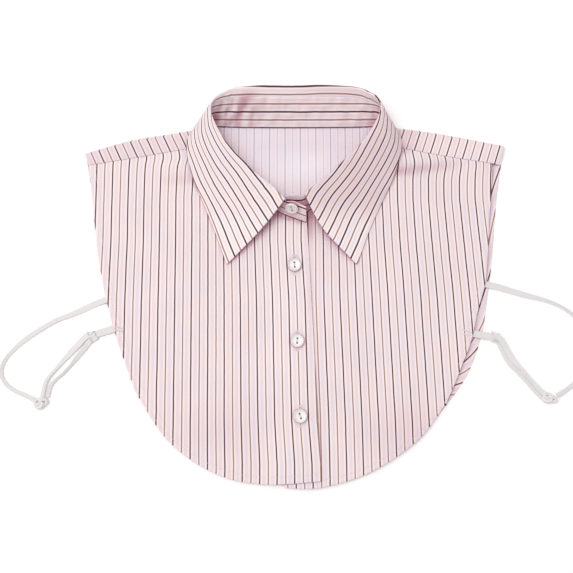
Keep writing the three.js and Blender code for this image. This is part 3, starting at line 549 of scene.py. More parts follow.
def front_relief(x, y, amount):
    """Soft creases and waves that both fronts share, so that they stay one over the other."""
    away = smooth(*WAVES_START, from_neck(x, y))
    relief = RELIEF_MEAN + WAVE_RISE * (0.3 + 0.7 * away) * ripples(x, y, seed=4, longest=80)
    for at_x, at_y, rise, wide, tall in CREASES:
        relief += rise * swell(x, y, at_x, at_y, wide, tall)
    for at_x, at_y, _ in FRONT_BUTTONS.values():
        relief -= DIMPLE_DEPTH * swell(x, y, at_x, at_y, DIMPLE_REACH, DIMPLE_REACH)
    # Near the armholes it may dip less, because the ties run between front and back there
    return amount * np.maximum(relief, -0.1 - 0.7 * smooth(150, 128, np.abs(x)))


def front_points(x, y, side, amount, lift=0.0):
    """Points on the middle of a front's cloth, or a little above it."""
    x, y = np.broadcast_arrays(x, y)
    height = front_height(x, y, side) + front_relief(x, y, amount) + lift
    return np.stack([x, y, height], axis=-1)


def painted_shade_at(x, y):
    """How much painted shade a place on the fronts takes, in hollows, creases and shadows; below nought,
    painted light.
    """
    return sum(depth * swell(x, y, at_x, at_y, wide, tall) for at_x, at_y, depth, wide, tall in PAINTED_SHADE_SPOTS)


def collar_line(kind):
    """One of the collar's lines, from the left front end round the back to the right."""
    half = COLLAR[:, kind:kind + 3]
    left, right = half * (-1, 1, 1), half.copy()
    for points in (left, right):
        share = (points[:, 1] - LEAN_START) / LEAN_LENGTH
        points[:, 0] += LEAN_FRONT + LEAN_GROWTH * share**2
    if kind == CREST:
        left[0, :2] += (FRONT_SLIP[0], -FRONT_SLIP[1])
        right[0, :2] += FRONT_SLIP
    return np.vstack([left, right[-2::-1]])


def stand_top_line(seam, crest):
    """Where the leaf is sewn to the stand."""
    row = np.arange(LAST_ROW + 1)
    from_front = smooth(0, 1, np.minimum(row, LAST_ROW - row) / (len(COLLAR) - 1))
    share = SEAM_SHARE_FRONT + (SEAM_SHARE_BACK - SEAM_SHARE_FRONT) * from_front
    return crest + (seam - crest) * share[:, None]


SEAM_POINTS = collar_line(SEAM)
SEAM_POINTS[:4, 2] += PLACKET_RISE * smooth(*PLACKET_LIFT, SEAM_POINTS[:4, 0])
CREST_POINTS = collar_line(CREST)
TOP_POINTS = stand_top_line(SEAM_POINTS, CREST_POINTS)
seam_line, crest_line, top_line = line(SEAM_POINTS), line(CREST_POINTS), line(TOP_POINTS)
belly_line, edge_line = line(collar_line(BELLY)), line(collar_line(EDGE))
stand_seam = line(np.vstack([LEFT_TAB[:, :3], SEAM_POINTS, RIGHT_END[:, :3]]))
stand_top = line(np.vstack([LEFT_TAB[:, 3:], TOP_POINTS, RIGHT_END[:, 3:]]))


def neck_edge(row, side=1):
    """Neck edge of the panels in plan, clear of the stand's wall."""
    row = np.asarray(row, float)
    before, after = (seam_line(np.clip(row + step, 0, LAST_ROW)) for step in (-0.02, 0.02))
    along = unit((after - before)[..., :2])
    away = np.stack([-along[..., 1], along[..., 0]], axis=-1)
    return seam_line(row)[..., :2] + side * NECK_EDGE * away


def neck_span(start, end, side=1):
    """The neck edge between two collar rows."""
    return lambda share: neck_edge(start + (end - start) * np.asarray(share, float), side)


def back_relief(x, y, from_top, amount):
    """Soft waves of the back inside the collar, which die out towards its top edge."""
    waves = np.maximum(0, 0.35 + ripples(x, y, seed=9, longest=80))
    inside = smooth(60, 90, y) * smooth(92, 66, np.abs(x))
    return 0.55 * amount * smooth(0, 26, from_top) * waves * inside


def back_top():
    """Top edge of the back's flat part, and the two shoulder folds that it starts and ends with."""
    left_fold, right_fold = (
        plan([(x, y - SHOULDER_R) for x, y in fold]) for fold in (LEFT_FOLD, RIGHT_FOLD)
    )
    neck = neck_span(BACK_ROW, LAST_ROW - BACK_ROW, -1)
    neck_start = FOLD_END + 1
    neck_length = TOP_END - 2 * neck_start

    def at(share):
        place = np.atleast_1d(np.asarray(share, float)) * TOP_END
        left = left_fold(np.clip(place / FOLD_END, 0, 1))
        right = right_fold(np.clip((TOP_END - place) / FOLD_END, 0, 1))
        middle = neck(np.clip((place - neck_start) / neck_length, 0, 1))
        from_left = np.clip(place - FOLD_END, 0, 1)[:, None]
        from_right = np.clip(TOP_END - FOLD_END - place, 0, 1)[:, None]
        point = np.where((place < TOP_END / 2)[:, None], left + (middle - left) * from_left,
                         right + (middle - right) * from_right)
        return point if np.ndim(share) else point[0]

    return at, (left_fold, right_fold)


def front_grid(side, columns, rows):
    """Middle of a front panel's cloth in plan, and its outer edges."""
    left = side < 0
    seam_row, end_row = (SEAM_ROW, 0) if left else (LAST_ROW - SEAM_ROW, LAST_ROW)
    seam_edge = [(x, y + SEAM_LAP) for x, y in (LEFT_SEAM if left else FRONT_RIGHT_SEAM)]
    seam = plan([*seam_edge, neck_edge(seam_row)])
    placket_line = LEFT_PLACKET if left else RIGHT_PLACKET
    top_x, top_y = placket_line[-1]
    turn_x, turn_y = LEFT_NECK_TURN if left else RIGHT_NECK_TURN
    collar_end = plan([neck_edge(end_row), (top_x + turn_x, top_y + turn_y), (top_x, top_y)])
    neck = joined(neck_span(seam_row, end_row), collar_end, NECK_SHARE)
    top = joined(seam, neck, SHOULDER_SHARE)
    outline = LEFT_SIDE if left else RIGHT_FRONT_SIDE
    side_edge, placket = plan([*outline[:-1], seam_edge[0]]), plan(placket_line)
    hem = plan(LEFT_HEM if left else RIGHT_HEM)
    if left:
        flat = patch(hem, top, side_edge, placket, columns, rows)
    else:
        flat = patch(hem, backwards(top), placket, side_edge, columns, rows)
    share = np.linspace(0, 1, 220)
    return flat, {"hem": hem(share), "side": side_edge(share), "seam": seam(share)}


def leaf_grid(rows, shares):
    """Middle of the leaf: up from the stand, over the roll and down to the outer edge."""
    crest, belly, edge, top = crest_line(rows), belly_line(rows), edge_line(rows), top_line(rows)
    up, out = unit(crest - top), unit((belly - crest) * (1, 1, 0))
    lift = np.array((0, 0, ROLL_UP))
    control = np.stack([
        top + up * LEAF_GAP, crest - out * ROLL_IN + lift, crest + out * ROLL_OUT + lift, belly,
        edge + (belly - edge) * EDGE_SHARE, edge,
    ], axis=1)
    legs = control.shape[1] - 2
    at = np.minimum((shares * legs).astype(int), legs - 1)
    local = (shares * legs - at)[None, :, None]
    middle = control[:, at + 1]
    start = np.where((at == 0)[None, :, None], control[:, at], (control[:, at] + middle) / 2)
    end = np.where((at == legs - 1)[None, :, None], control[:, at + 2], (middle + control[:, at + 2]) / 2)
    first, second = start + (middle - start) * local, middle + (end - middle) * local
    return first + (second - first) * local


def stand_grid(rows, shares):
    """Middle of the stand, from its neck seam up to the leaf."""
    low, high = stand_seam(rows)[:, None], stand_top(rows)[:, None]
    return low + (high - low) * shares[None, :, None]


# Where a point of cloth lies in the stripe pattern

def front_pattern(x, y, side):
    """Stripe number at a place on a front."""
    table = LEFT_STRIPES if side < 0 else RIGHT_STRIPES
    heights = table[::-1, 0]
    middle, left, right = (np.interp(y, heights, table[::-1, column]) for column in (1, 2, 3))
    shift = sum(by * swell(x, y, at_x, at_y, wide, tall) for at_x, at_y, by, wide, tall in STRIPE_SHIFTS)
    away = x - shift - middle
    return (LEFT_STRIPE if side < 0 else RIGHT_STRIPE) + away / np.where(away < 0, left, right)


def back_pattern(x):
    """Stripe number at a place on the back."""
    places, numbers = zip(*BACK_STRIPES)
    return np.interp(x, places, numbers)


def leaf_pattern(rows, from_edge):
    """Stripe number on the leaf, from the distance to its outer edge."""
    pattern = np.zeros_like(from_edge)
    for place, (row, distance) in enumerate(zip(rows, from_edge)):
        table = LEAF_LEFT if row <= LAST_ROW / 2 else LEAF_RIGHT
        near = min(row, LAST_ROW - row)
        marks = [np.interp(near, table[:, 0], column) for column in table.T[1:]]
        marks = [2 * marks[0] - marks[1], *marks, 2 * marks[-1] - marks[-2]]
        pattern[place] = np.interp(distance, marks, np.arange(-1, len(marks) - 1))
    return pattern


# Meshes

def new_object(name, mesh, materials, smooth_angle=None):
    """Links a mesh as a piece of the dickey that rides on its body."""
    for material in materials:
        mesh.materials.append(material)
    mesh.validate()
    mesh.polygons.foreach_set("use_smooth", np.ones(len(mesh.polygons), bool))
    if smooth_angle is not None:
        mesh.set_sharp_from_angle(angle=smooth_angle)
    piece = bpy.data.objects.new(name, mesh)
    bpy.context.scene.collection.objects.link(piece)
    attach(piece, BODY)
    return piece


def grid_normals(middle, cells=None):
    """Normals of a grid, from the cells that hold cloth."""
    if cells is None:
        cells = np.ones((middle.shape[0] - 1, middle.shape[1] - 1), bool)
    a, b = middle[:-1, :-1], middle[1:, :-1]
    c, d = middle[1:, 1:], middle[:-1, 1:]
    normal = unit(np.cross(c - a, d - b)) * cells[..., None]
    total = np.zeros_like(middle)
    for di, dj in ((0, 0), (1, 0), (1, 1), (0, 1)):
        total[di:di + cells.shape[0], dj:dj + cells.shape[1]] += normal
    return unit(total)


def cloth_mesh(name, middle, half, over, under=None, edge=NO_HEM, cells=None, over_slot=0, under_slot=1,
               hollow=0.0):
    """A wall of cloth round a grid, with rounded edges.

    over and under hold the pattern's place on the two faces, edge the distance to a hemmed edge,
    over_slot and under_slot the material of the cells of each face, hollow the painted shade (below nought
    painted light).
    """
    columns, rows = middle.shape[:2]
    under = over if under is None else under
    if cells is None:
        cells = np.ones((columns - 1, rows - 1), bool)
    normals = grid_normals(middle, cells)
    half = np.broadcast_to(half, middle.shape[:2])[..., None]
    number = np.arange(columns * rows).reshape(columns, rows)
    i, j = np.nonzero(cells)
    corner = [number[i, j], number[i + 1, j], number[i + 1, j + 1], number[i, j + 1]]
    top = np.stack(corner, axis=1)
    bottom = top[:, ::-1] + columns * rows
    padded = np.pad(cells, 1)
    starts, ends = [], []
    for step, (di, dj) in enumerate(((0, -1), (1, 0), (0, 1), (-1, 0))):
        bare = ~padded[i + 1 + di, j + 1 + dj]
        starts.append(corner[step][bare])
        ends.append(corner[(step + 1) % 4][bare])
    starts, ends = np.concatenate(starts), np.concatenate(ends)
    place, facing = middle.reshape(-1, 3), normals.reshape(-1, 3)
    outward = np.zeros_like(place)
    away = unit(np.cross(place[ends] - place[starts], facing[starts] + facing[ends]))
    np.add.at(outward, starts, away)
    np.add.at(outward, ends, away)
    rim = np.unique(np.concatenate([starts, ends]))
    outward = unit(outward[rim])
    reach = half.reshape(-1, 1)
    levels = [rim]
    vertices = [place + facing * reach, place - facing * reach]
    for level in range(1, RIM_STEPS):
        turn = math.pi * level / RIM_STEPS
        bulge = facing[rim] * math.cos(turn) + outward * math.sin(turn)
        levels.append(2 * columns * rows + (level - 1) * len(rim) + np.arange(len(rim)))
        vertices.append(place[rim] + bulge * reach[rim])
    levels.append(rim + columns * rows)
    find = np.zeros(columns * rows, int)
    find[rim] = np.arange(len(rim))
    walls = [
        np.stack([low[find[starts]], low[find[ends]], high[find[ends]], high[find[starts]]], axis=1)
        for high, low in zip(levels, levels[1:])
    ]
    faces = np.concatenate([top, bottom, *walls])
    slots = np.zeros(len(faces), int)
    for first, slot in ((0, over_slot), (len(top), under_slot)):
        slots[first:first + len(top)] = np.broadcast_to(slot, cells.shape)[i, j]
    over, under = over.reshape(-1, 2), under.reshape(-1, 2)
    loops = np.concatenate([over, under] + [over[rim]] * (RIM_STEPS - 1))[faces]
    ring = np.concatenate([np.stack([starts, ends, ends, starts], axis=1)] * len(walls))
    loops[2 * len(top):] = over[ring]
    edge, hollow = (np.broadcast_to(value, middle.shape[:2]).reshape(-1) for value in (edge, hollow))
    hollow = np.clip(hollow, *PAINTED_SHADE_RANGE)
    values = {
        "edge": np.concatenate([edge, edge] + [np.zeros(len(rim))] * (RIM_STEPS - 1)),
        "hollow": np.concatenate([hollow, hollow] + [hollow[rim]] * (RIM_STEPS - 1)),
    }
    return mesh_from(name, np.concatenate(vertices), faces, loops, slots, values)


def mesh_from(name, vertices, faces, loops, slots, values):
    """A mesh in metres from arrays in millimetres, with the unused points left out."""
    used = np.unique(faces)
    order = np.zeros(len(vertices), int)
    order[used] = np.arange(len(used))
    mesh = bpy.data.meshes.new(name)
    mesh.from_pydata(vertices[used] * MM, [], order[faces].tolist())
    uv = mesh.uv_layers.new(name="pattern")
    uv.data.foreach_set("uv", np.ascontiguousarray(loops, dtype=np.float32).reshape(-1))
    mesh.polygons.foreach_set("material_index", slots.astype(np.int32))
    for key, value in values.items():
        mesh.attributes.new(key, "FLOAT", "POINT").data.foreach_set("value", value[used].astype(np.float32))
    return mesh


def cloth_sizes(context):
    """Half the cloth's thickness, the stripe repeat and the hem, in millimetres."""
    cloth = context.scene.dickey_cloth
    return cloth.thickness * 500, cloth.repeat * 1000, cloth.hem * 1000


def cloth_piece(node, mesh, materials):
    """Links one piece of cloth, which stands for a CAD node, and hides that node."""
    piece = new_object(mesh.name, mesh, materials)
    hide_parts(node)


def tube(path, across, up, section, closed=False):
    """Rings of a section along a path: points, quads and the two ends, which a closed ring lacks."""
    rings = path[:, None] + across[:, None] * section[None, :, :1] + up[:, None] * section[None, :, 1:]
    number = np.arange(len(path) * len(section)).reshape(len(path), len(section))
    low, high = (number, np.roll(number, -1, 0)) if closed else (number[:-1], number[1:])
    faces = np.stack([low, np.roll(low, -1, 1), np.roll(high, -1, 1), high], axis=-1).reshape(-1, 4)
    return rings.reshape(-1, 3), faces, [] if closed else [number[0][::-1], number[-1]]


def flat_section(width, thickness, sides=16):
    """A flat oval with blunt edges."""
    turn = np.arange(sides) / sides * 2 * math.pi
    return np.stack([
        np.sign(wave) * np.abs(wave) ** power * size / 2
        for wave, power, size in ((np.cos(turn), 0.55, width), (np.sin(turn), 0.7, thickness))
    ], axis=1)


def frames_along(path, roll):
    """Sideways and upward directions along a path, rolled in degrees."""
    forward = heading(path)
    level = unit(np.cross((0, 0, 1), forward))
    rise = np.cross(forward, level)
    turn = np.radians(roll)[:, None]
    across = level * np.cos(turn) + rise * np.sin(turn)
    return across, np.cross(forward, across)


def elastic_piece(node, path, across, up, section, elastic, lowest=ELASTIC_LOWEST, closed=False):
    """A length of elastic, which stands for a CAD node, with the pattern across and along it."""
    name = f"{node}_elastic"
    vertices, faces, caps = tube(path, across, up, section, closed)
    vertices[:, 2] = np.maximum(vertices[:, 2], lowest)
    along = lengths_along(path).repeat(len(section))
    pattern = np.stack([np.tile(section[:, 0], len(path)), along], axis=1)
    mesh = bpy.data.meshes.new(name)
    mesh.from_pydata(vertices * MM, [], faces.tolist() + [cap.tolist() for cap in caps])
    uv = mesh.uv_layers.new(name="pattern")
    corner = np.array([loop.vertex_index for loop in mesh.loops])
    uv.data.foreach_set("uv", pattern[corner].astype(np.float32).reshape(-1))
    piece = new_object(name, mesh, [elastic])
    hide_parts(node)
    return piece


# Materials

def add_node(tree, kind, links=None, stops=None, **settings):
    """Adds a node with its settings, and sets or links its inputs."""
    node = tree.nodes.new(kind)
    for name, value in settings.items():
        setattr(node, name, value)
    for name, value in (links or {}).items():
        if isinstance(value, bpy.types.NodeSocket):
            tree.links.new(value, node.inputs[name])
        else:
            node.inputs[name].default_value = value
    for number, (place, colour) in enumerate(stops or ()):
        points = node.color_ramp.elements
        point = points[number] if number < min(2, len(points)) else points.new(place)
        point.position, point.color = place, colour
    return node


def new_material(name, finish):
    """A material with its shader, whose own sockets get the finish."""
    material = bpy.data.materials.new(name)
    material.use_nodes = True
    shader = material.node_tree.nodes["Principled BSDF"]
    for socket, value in finish.items():
        shader.inputs[socket].default_value = value
    return material, material.node_tree, shader


def darker(colour, share):
    """A share of a colour's light."""
    return tuple(part * share for part in colour[:3]) + (1.0,)


def enclosed(tree, open_at):
    """How enclosed a place is, from 0 in the open to 1 in a deep fold."""
    covered = add_node(tree, "ShaderNodeAmbientOcclusion", {"Distance": FOLD_REACH}, samples=6)
    depth = add_node(tree, "ShaderNodeMapRange", {
        "Value": covered.outputs["AO"], "From Min": open_at, "From Max": 0.3})
    return depth.outputs[0]


def stripe_colours(tree, place, across, settings, wrong_side, widen):
    """Dark and tan stripes between pale bands on the lilac ground, with slightly wavering edges."""
    waver = add_node(tree, "ShaderNodeTexNoise", {"Vector": place, "Scale": 1.2, "Detail": 1.0})
    nudge = add_node(tree, "ShaderNodeMath", {0: waver.outputs["Fac"], 1: 0.02}, operation="MULTIPLY")
    moved = add_node(tree, "ShaderNodeMath", {0: across, 1: nudge.outputs[0]}, operation="ADD")
    # Half a repeat, less the 0.01 that the noise adds on average
    half = add_node(tree, "ShaderNodeMath", {0: moved.outputs[0], 1: 0.49}, operation="ADD")
    turned = add_node(tree, "ShaderNodeMath", {0: half.outputs[0]}, operation="FRACT")
    centred = add_node(tree, "ShaderNodeMath", {0: turned.outputs[0], 1: 0.5}, operation="SUBTRACT")
    folded = add_node(tree, "ShaderNodeMath", {0: centred.outputs[0]}, operation="ABSOLUTE")
    away = add_node(tree, "ShaderNodeMath", {0: folded.outputs[0], 1: 2.0}, operation="MULTIPLY")
    ground, halo, dark, tan = (tuple(getattr(settings, key)) for key in WRONG_SIDE_FADE)
    if wrong_side:
        ground, halo, dark, tan = (
            tuple(part + (lining - part) * fade for part, lining in zip(colour, settings.shade))
            for colour, fade in zip((ground, halo, dark, tan), WRONG_SIDE_FADE.values())
        )
    # One half of a repeat, from the middle of the dark stripe at 0 to that of the tan one at 1
    mm = 2 / (settings.repeat * 1000)
    dark_in, dark_out, tan_in, tan_out = (edge * mm * widen for edge in (*DARK_EDGE, *TAN_EDGE))
    bands = [(edge * mm, colour) for edge, colour in zip(BAND_EDGES, (halo, ground, ground, halo))]
    stripes = add_node(tree, "ShaderNodeValToRGB", {"Fac": away.outputs[0]}, [
        (0.0, dark), (dark_in, dark), (dark_out, halo), *bands,
        (1 - tan_out, halo), (1 - tan_in, tan), (1.0, tan),
    ])
    return stripes.outputs["Color"]


def yarn_shades(tree, place, colour):
    """The colour as single yarns and larger blotches vary it, and as it drifts from pinkish to bluish."""
    # Warp yarns of about 0.35 mm vary a little in shade along their length
    yarn_place = add_node(tree, "ShaderNodeMapping", {"Vector": place, "Scale": (40.0, 1.4, 1.0)})
    yarn = add_node(tree, "ShaderNodeTexNoise", {
        "Vector": yarn_place.outputs[0], "Scale": 1.0, "Detail": 2.0})
    blotch = add_node(tree, "ShaderNodeTexNoise", {"Vector": place, "Scale": 0.35, "Detail": 2.0})
    uneven = add_node(tree, "ShaderNodeMath", {
        0: yarn.outputs["Fac"], 1: blotch.outputs["Fac"]}, operation="ADD")
    bright = add_node(tree, "ShaderNodeMapRange", {
        "Value": uneven.outputs[0], "From Min": 0.6, "From Max": 1.4, "To Min": 0.955, "To Max": 1.03})
    shaded = add_node(tree, "ShaderNodeVectorMath", {0: colour, 1: bright.outputs[0]}, operation="MULTIPLY")
    # The lilac drifts over about 25 mm
    drift = add_node(tree, "ShaderNodeTexNoise", {"Vector": place, "Scale": 0.55, "Detail": 1.0})
    cooler = add_node(tree, "ShaderNodeMapRange", {
        "Value": drift.outputs["Fac"], "From Min": 0.4, "From Max": 0.62})
    hue = add_node(tree, "ShaderNodeMix", {
        MIX_SHARE: cooler.outputs[0],
        MIX_FIRST: (1.04, 0.995, 0.98, 1.0), MIX_SECOND: (1.005, 0.995, 1.01, 1.0),
    }, data_type="RGBA")
    tinted = add_node(tree, "ShaderNodeVectorMath", {
        0: shaded.outputs[0], 1: hue.outputs[MIX_RESULT]}, operation="MULTIPLY")
    return tinted.outputs[0]


def painted_fold_shade(tree, colour):
    """Painted shade: the colour deepened in hollows and folds, as light that crosses pink cloth several
    times deepens it.
    """
    # The painted shade that the mesh carries: pinker and darker above nought, paler below it
    hollow = add_node(tree, "ShaderNodeAttribute", attribute_name="hollow").outputs["Fac"]
    spots_shaded = add_node(tree, "ShaderNodeMix", {
        MIX_SHARE: hollow, MIX_FIRST: colour, MIX_SECOND: linear("D6B7C2"),
    }, data_type="RGBA", blend_type="MULTIPLY", clamp_factor=False)
    # Painted shade in folds, by how enclosed a place is: lilac where it is shallow, pink where it is deep
    depth = enclosed(tree, 0.94)
    # The painted shade is weaker on faces that look down at the white paper beside them, which get its plain
    # light instead
    facing = add_node(tree, "ShaderNodeTexCoord").outputs["Normal"]
    height = add_node(tree, "ShaderNodeSeparateXYZ", {"Vector": facing}).outputs["Z"]
    upward = add_node(tree, "ShaderNodeMapRange", {
        "Value": height, "From Min": -0.1, "From Max": 0.6, "To Min": 0.25, "To Max": 1.0})
    share = add_node(tree, "ShaderNodeMath", {0: depth, 1: upward.outputs[0]}, operation="MULTIPLY")
    fold_shade_colour = add_node(tree, "ShaderNodeValToRGB", {"Fac": depth}, [
        (0.1, linear("D6CCE0")), (0.8, linear("E494B6"))])
    deep = add_node(tree, "ShaderNodeMix", {
        MIX_SHARE: share.outputs[0], MIX_FIRST: spots_shaded.outputs[MIX_RESULT], MIX_SECOND: fold_shade_colour.outputs[0],
    }, data_type="RGBA", blend_type="MULTIPLY")
    return deep.outputs[MIX_RESULT]


def woven_surface(tree, place, parts, settings):
    """The weave, the low step at the hem's inner edge and the puckers beside its stitching."""
    # The weave is drawn at 0.6 mm a yarn, twice the real size, so that it shows
    repeat, hem = settings.repeat * 1000, settings.hem * 1000
    turns = 2 * math.pi * repeat / WEAVE_YARN
    waves = []
    for direction in ("X", "Y"):
        angle = add_node(tree, "ShaderNodeMath", {
            0: parts.outputs[direction], 1: turns}, operation="MULTIPLY")
        waves.append(add_node(tree, "ShaderNodeMath", {0: angle.outputs[0]}, operation="SINE").outputs[0])
    weave = add_node(tree, "ShaderNodeMath", dict(enumerate(waves)), operation="MULTIPLY")
    fine = add_node(tree, "ShaderNodeBump", {
        "Height": weave.outputs[0], "Strength": 0.25, "Distance": 0.00006})
    edge = add_node(tree, "ShaderNodeAttribute", attribute_name="edge").outputs["Fac"]
    step = add_node(tree, "ShaderNodeMapRange", {
        "Value": edge, "From Min": hem + 0.2, "From Max": hem + 1.0, "To Min": 1.0, "To Max": 0.0,
    }, interpolation_type="SMOOTHSTEP")
    hemmed = add_node(tree, "ShaderNodeBump", {
        "Height": step.outputs[0], "Strength": 0.6, "Distance": 0.0003, "Normal": fine.outputs[0]})
    near = add_node(tree, "ShaderNodeMapRange", {
        "Value": edge, "From Min": hem + 4.0, "From Max": hem}, interpolation_type="SMOOTHSTEP")
    ruck = add_node(tree, "ShaderNodeTexNoise", {"Vector": place, "Scale": 2.4, "Detail": 1.0})
    pucker = add_node(tree, "ShaderNodeMath", {
        0: ruck.outputs["Fac"], 1: near.outputs[0]}, operation="MULTIPLY")
    puckered = add_node(tree, "ShaderNodeBump", {
        "Height": pucker.outputs[0], "Strength": 0.35, "Distance": 0.0008, "Normal": hemmed.outputs[0]})
    return puckered.outputs[0]


def striped_poplin(name, settings, wrong_side=False, widen=1.0):
    """Yarn-dyed cotton poplin: woven stripes, a fine matt weave and a soft bloom.

    The wrong side shows the same stripes faintly, because the yarns lie mostly on the face.
    """
    material, tree, shader = new_material(name, {
        "Roughness": 0.88, "IOR": 1.45, "Specular IOR Level": 0.25,
        "Sheen Weight": 0.12, "Sheen Roughness": 0.5,
    })
    place = add_node(tree, "ShaderNodeUVMap", uv_map="pattern").outputs["UV"]
    parts = add_node(tree, "ShaderNodeSeparateXYZ", {"Vector": place})
    stripes = stripe_colours(tree, place, parts.outputs["X"], settings, wrong_side, widen)
    colour = painted_fold_shade(tree, yarn_shades(tree, place, stripes))
    tree.links.new(colour, shader.inputs["Base Color"])
    tree.links.new(woven_surface(tree, place, parts, settings), shader.inputs["Normal"])
    return material


def braided_elastic(name, settings):
    """Narrow braided polyester elastic: matt off-white, with fine ribs along it and a crossing braid."""
    material, tree, shader = new_material(name, {"Roughness": 0.75, "Specular IOR Level": 0.3})
    place = add_node(tree, "ShaderNodeUVMap", uv_map="pattern").outputs["UV"]
    parts = add_node(tree, "ShaderNodeSeparateXYZ", {"Vector": place})
    across, along = (
        add_node(tree, "ShaderNodeMath", {
            0: parts.outputs[direction], 1: 2 * math.pi / size}, operation="MULTIPLY")
        for direction, size in (("X", RIB_WIDTH), ("Y", BRAID_LENGTH))
    )
    rib = add_node(tree, "ShaderNodeMath", {0: across.outputs[0]}, operation="COSINE")
    braid = add_node(tree, "ShaderNodeMath", {0: along.outputs[0]}, operation="SINE")
    both = add_node(tree, "ShaderNodeMath", {
        0: braid.outputs[0], 1: 0.4, 2: rib.outputs[0]}, operation="MULTIPLY_ADD")
    shade = add_node(tree, "ShaderNodeMapRange", {
        "Value": both.outputs[0], "From Min": -1.4, "From Max": 1.4, "To Min": 0.9, "To Max": 1.02})
    base = tuple(settings.elastic_colour)[:3]
    colour = add_node(tree, "ShaderNodeVectorMath", {0: base, 1: shade.outputs[0]}, operation="MULTIPLY")
    tree.links.new(colour.outputs[0], shader.inputs["Base Color"])
    bump = add_node(tree, "ShaderNodeBump", {
        "Height": both.outputs[0], "Strength": 0.5, "Distance": 0.00012})
    tree.links.new(bump.outputs[0], shader.inputs["Normal"])
    return material


def cast_polyester(name, settings):
    """Cast polyester button: glossy white with a faint pearly clouding."""
    material, tree, shader = new_material(name, {
        "Roughness": 0.22, "IOR": 1.54, "Coat Weight": 0.25, "Coat Roughness": 0.12})
    place = add_node(tree, "ShaderNodeTexCoord").outputs["Object"]
    cloud = add_node(tree, "ShaderNodeTexNoise", {
        "Vector": place, "Scale": 420.0, "Detail": 3.0, "Distortion": 1.2})
    white = tuple(settings.button_colour)
    colour = add_node(tree, "ShaderNodeValToRGB", {"Fac": cloud.outputs["Fac"]}, [
        (0.3, darker(white, 0.93)), (0.65, white)])
    # Painted shade: inside the collar a button is darkened towards the pink of the cloth round it, as far as
    # it is enclosed
    tinted = add_node(tree, "ShaderNodeMix", {
        MIX_SHARE: enclosed(tree, 1.0), MIX_FIRST: colour.outputs[0], MIX_SECOND: linear("D09CAE"),
    }, data_type="RGBA", blend_type="MULTIPLY")
    tree.links.new(tinted.outputs[MIX_RESULT], shader.inputs["Base Color"])
    return material


def spun_thread(name, settings, white=False):
    """Spun polyester sewing thread: matt, a touch lighter than the cloth, or as white as the elastic."""
    material, tree, shader = new_material(name, {"Roughness": 0.7, "Sheen Weight": 0.15})
    place = add_node(tree, "ShaderNodeTexCoord").outputs["Object"]
    twist = add_node(tree, "ShaderNodeTexNoise", {"Vector": place, "Scale": 3000.0, "Detail": 1.0})
    light = tuple(settings.elastic_colour if white else settings.thread_colour)
    colour = add_node(tree, "ShaderNodeValToRGB", {"Fac": twist.outputs["Fac"]}, [
        (0.35, darker(light, 0.85)), (0.6, light)])
    tree.links.new(colour.outputs[0], shader.inputs["Base Color"])
    return material


def studio_paper(name):
    """Seamless white studio paper."""
    white = linear("FFFFFF")
    return new_material(name, {
        "Base Color": white, "Emission Color": white, "Emission Strength": 0.05, "Roughness": 0.9,
        "Specular IOR Level": 0.1,
    })[0]


def material_called(name, make, *values):
    """The material of that name, made once."""
    return bpy.data.materials.get(name) or make(name, *values)


def cloth_materials(context):
    """Right and wrong side of the cotton, and the right side where seams draw it in."""
    settings = context.scene.dickey_cloth
    return [
        material_called("Striped cotton poplin", striped_poplin, settings),
        material_called("Striped cotton poplin, wrong side", striped_poplin, settings, True),
        material_called("Striped cotton poplin, drawn in", striped_poplin, settings, False, DRAWN_IN),
    ]


def trim_material(context, name, make, *values):
    """One of the trimmings' materials."""
    return material_called(name, make, context.scene.dickey_trim, *values)


# Stitches, made with Geometry Nodes

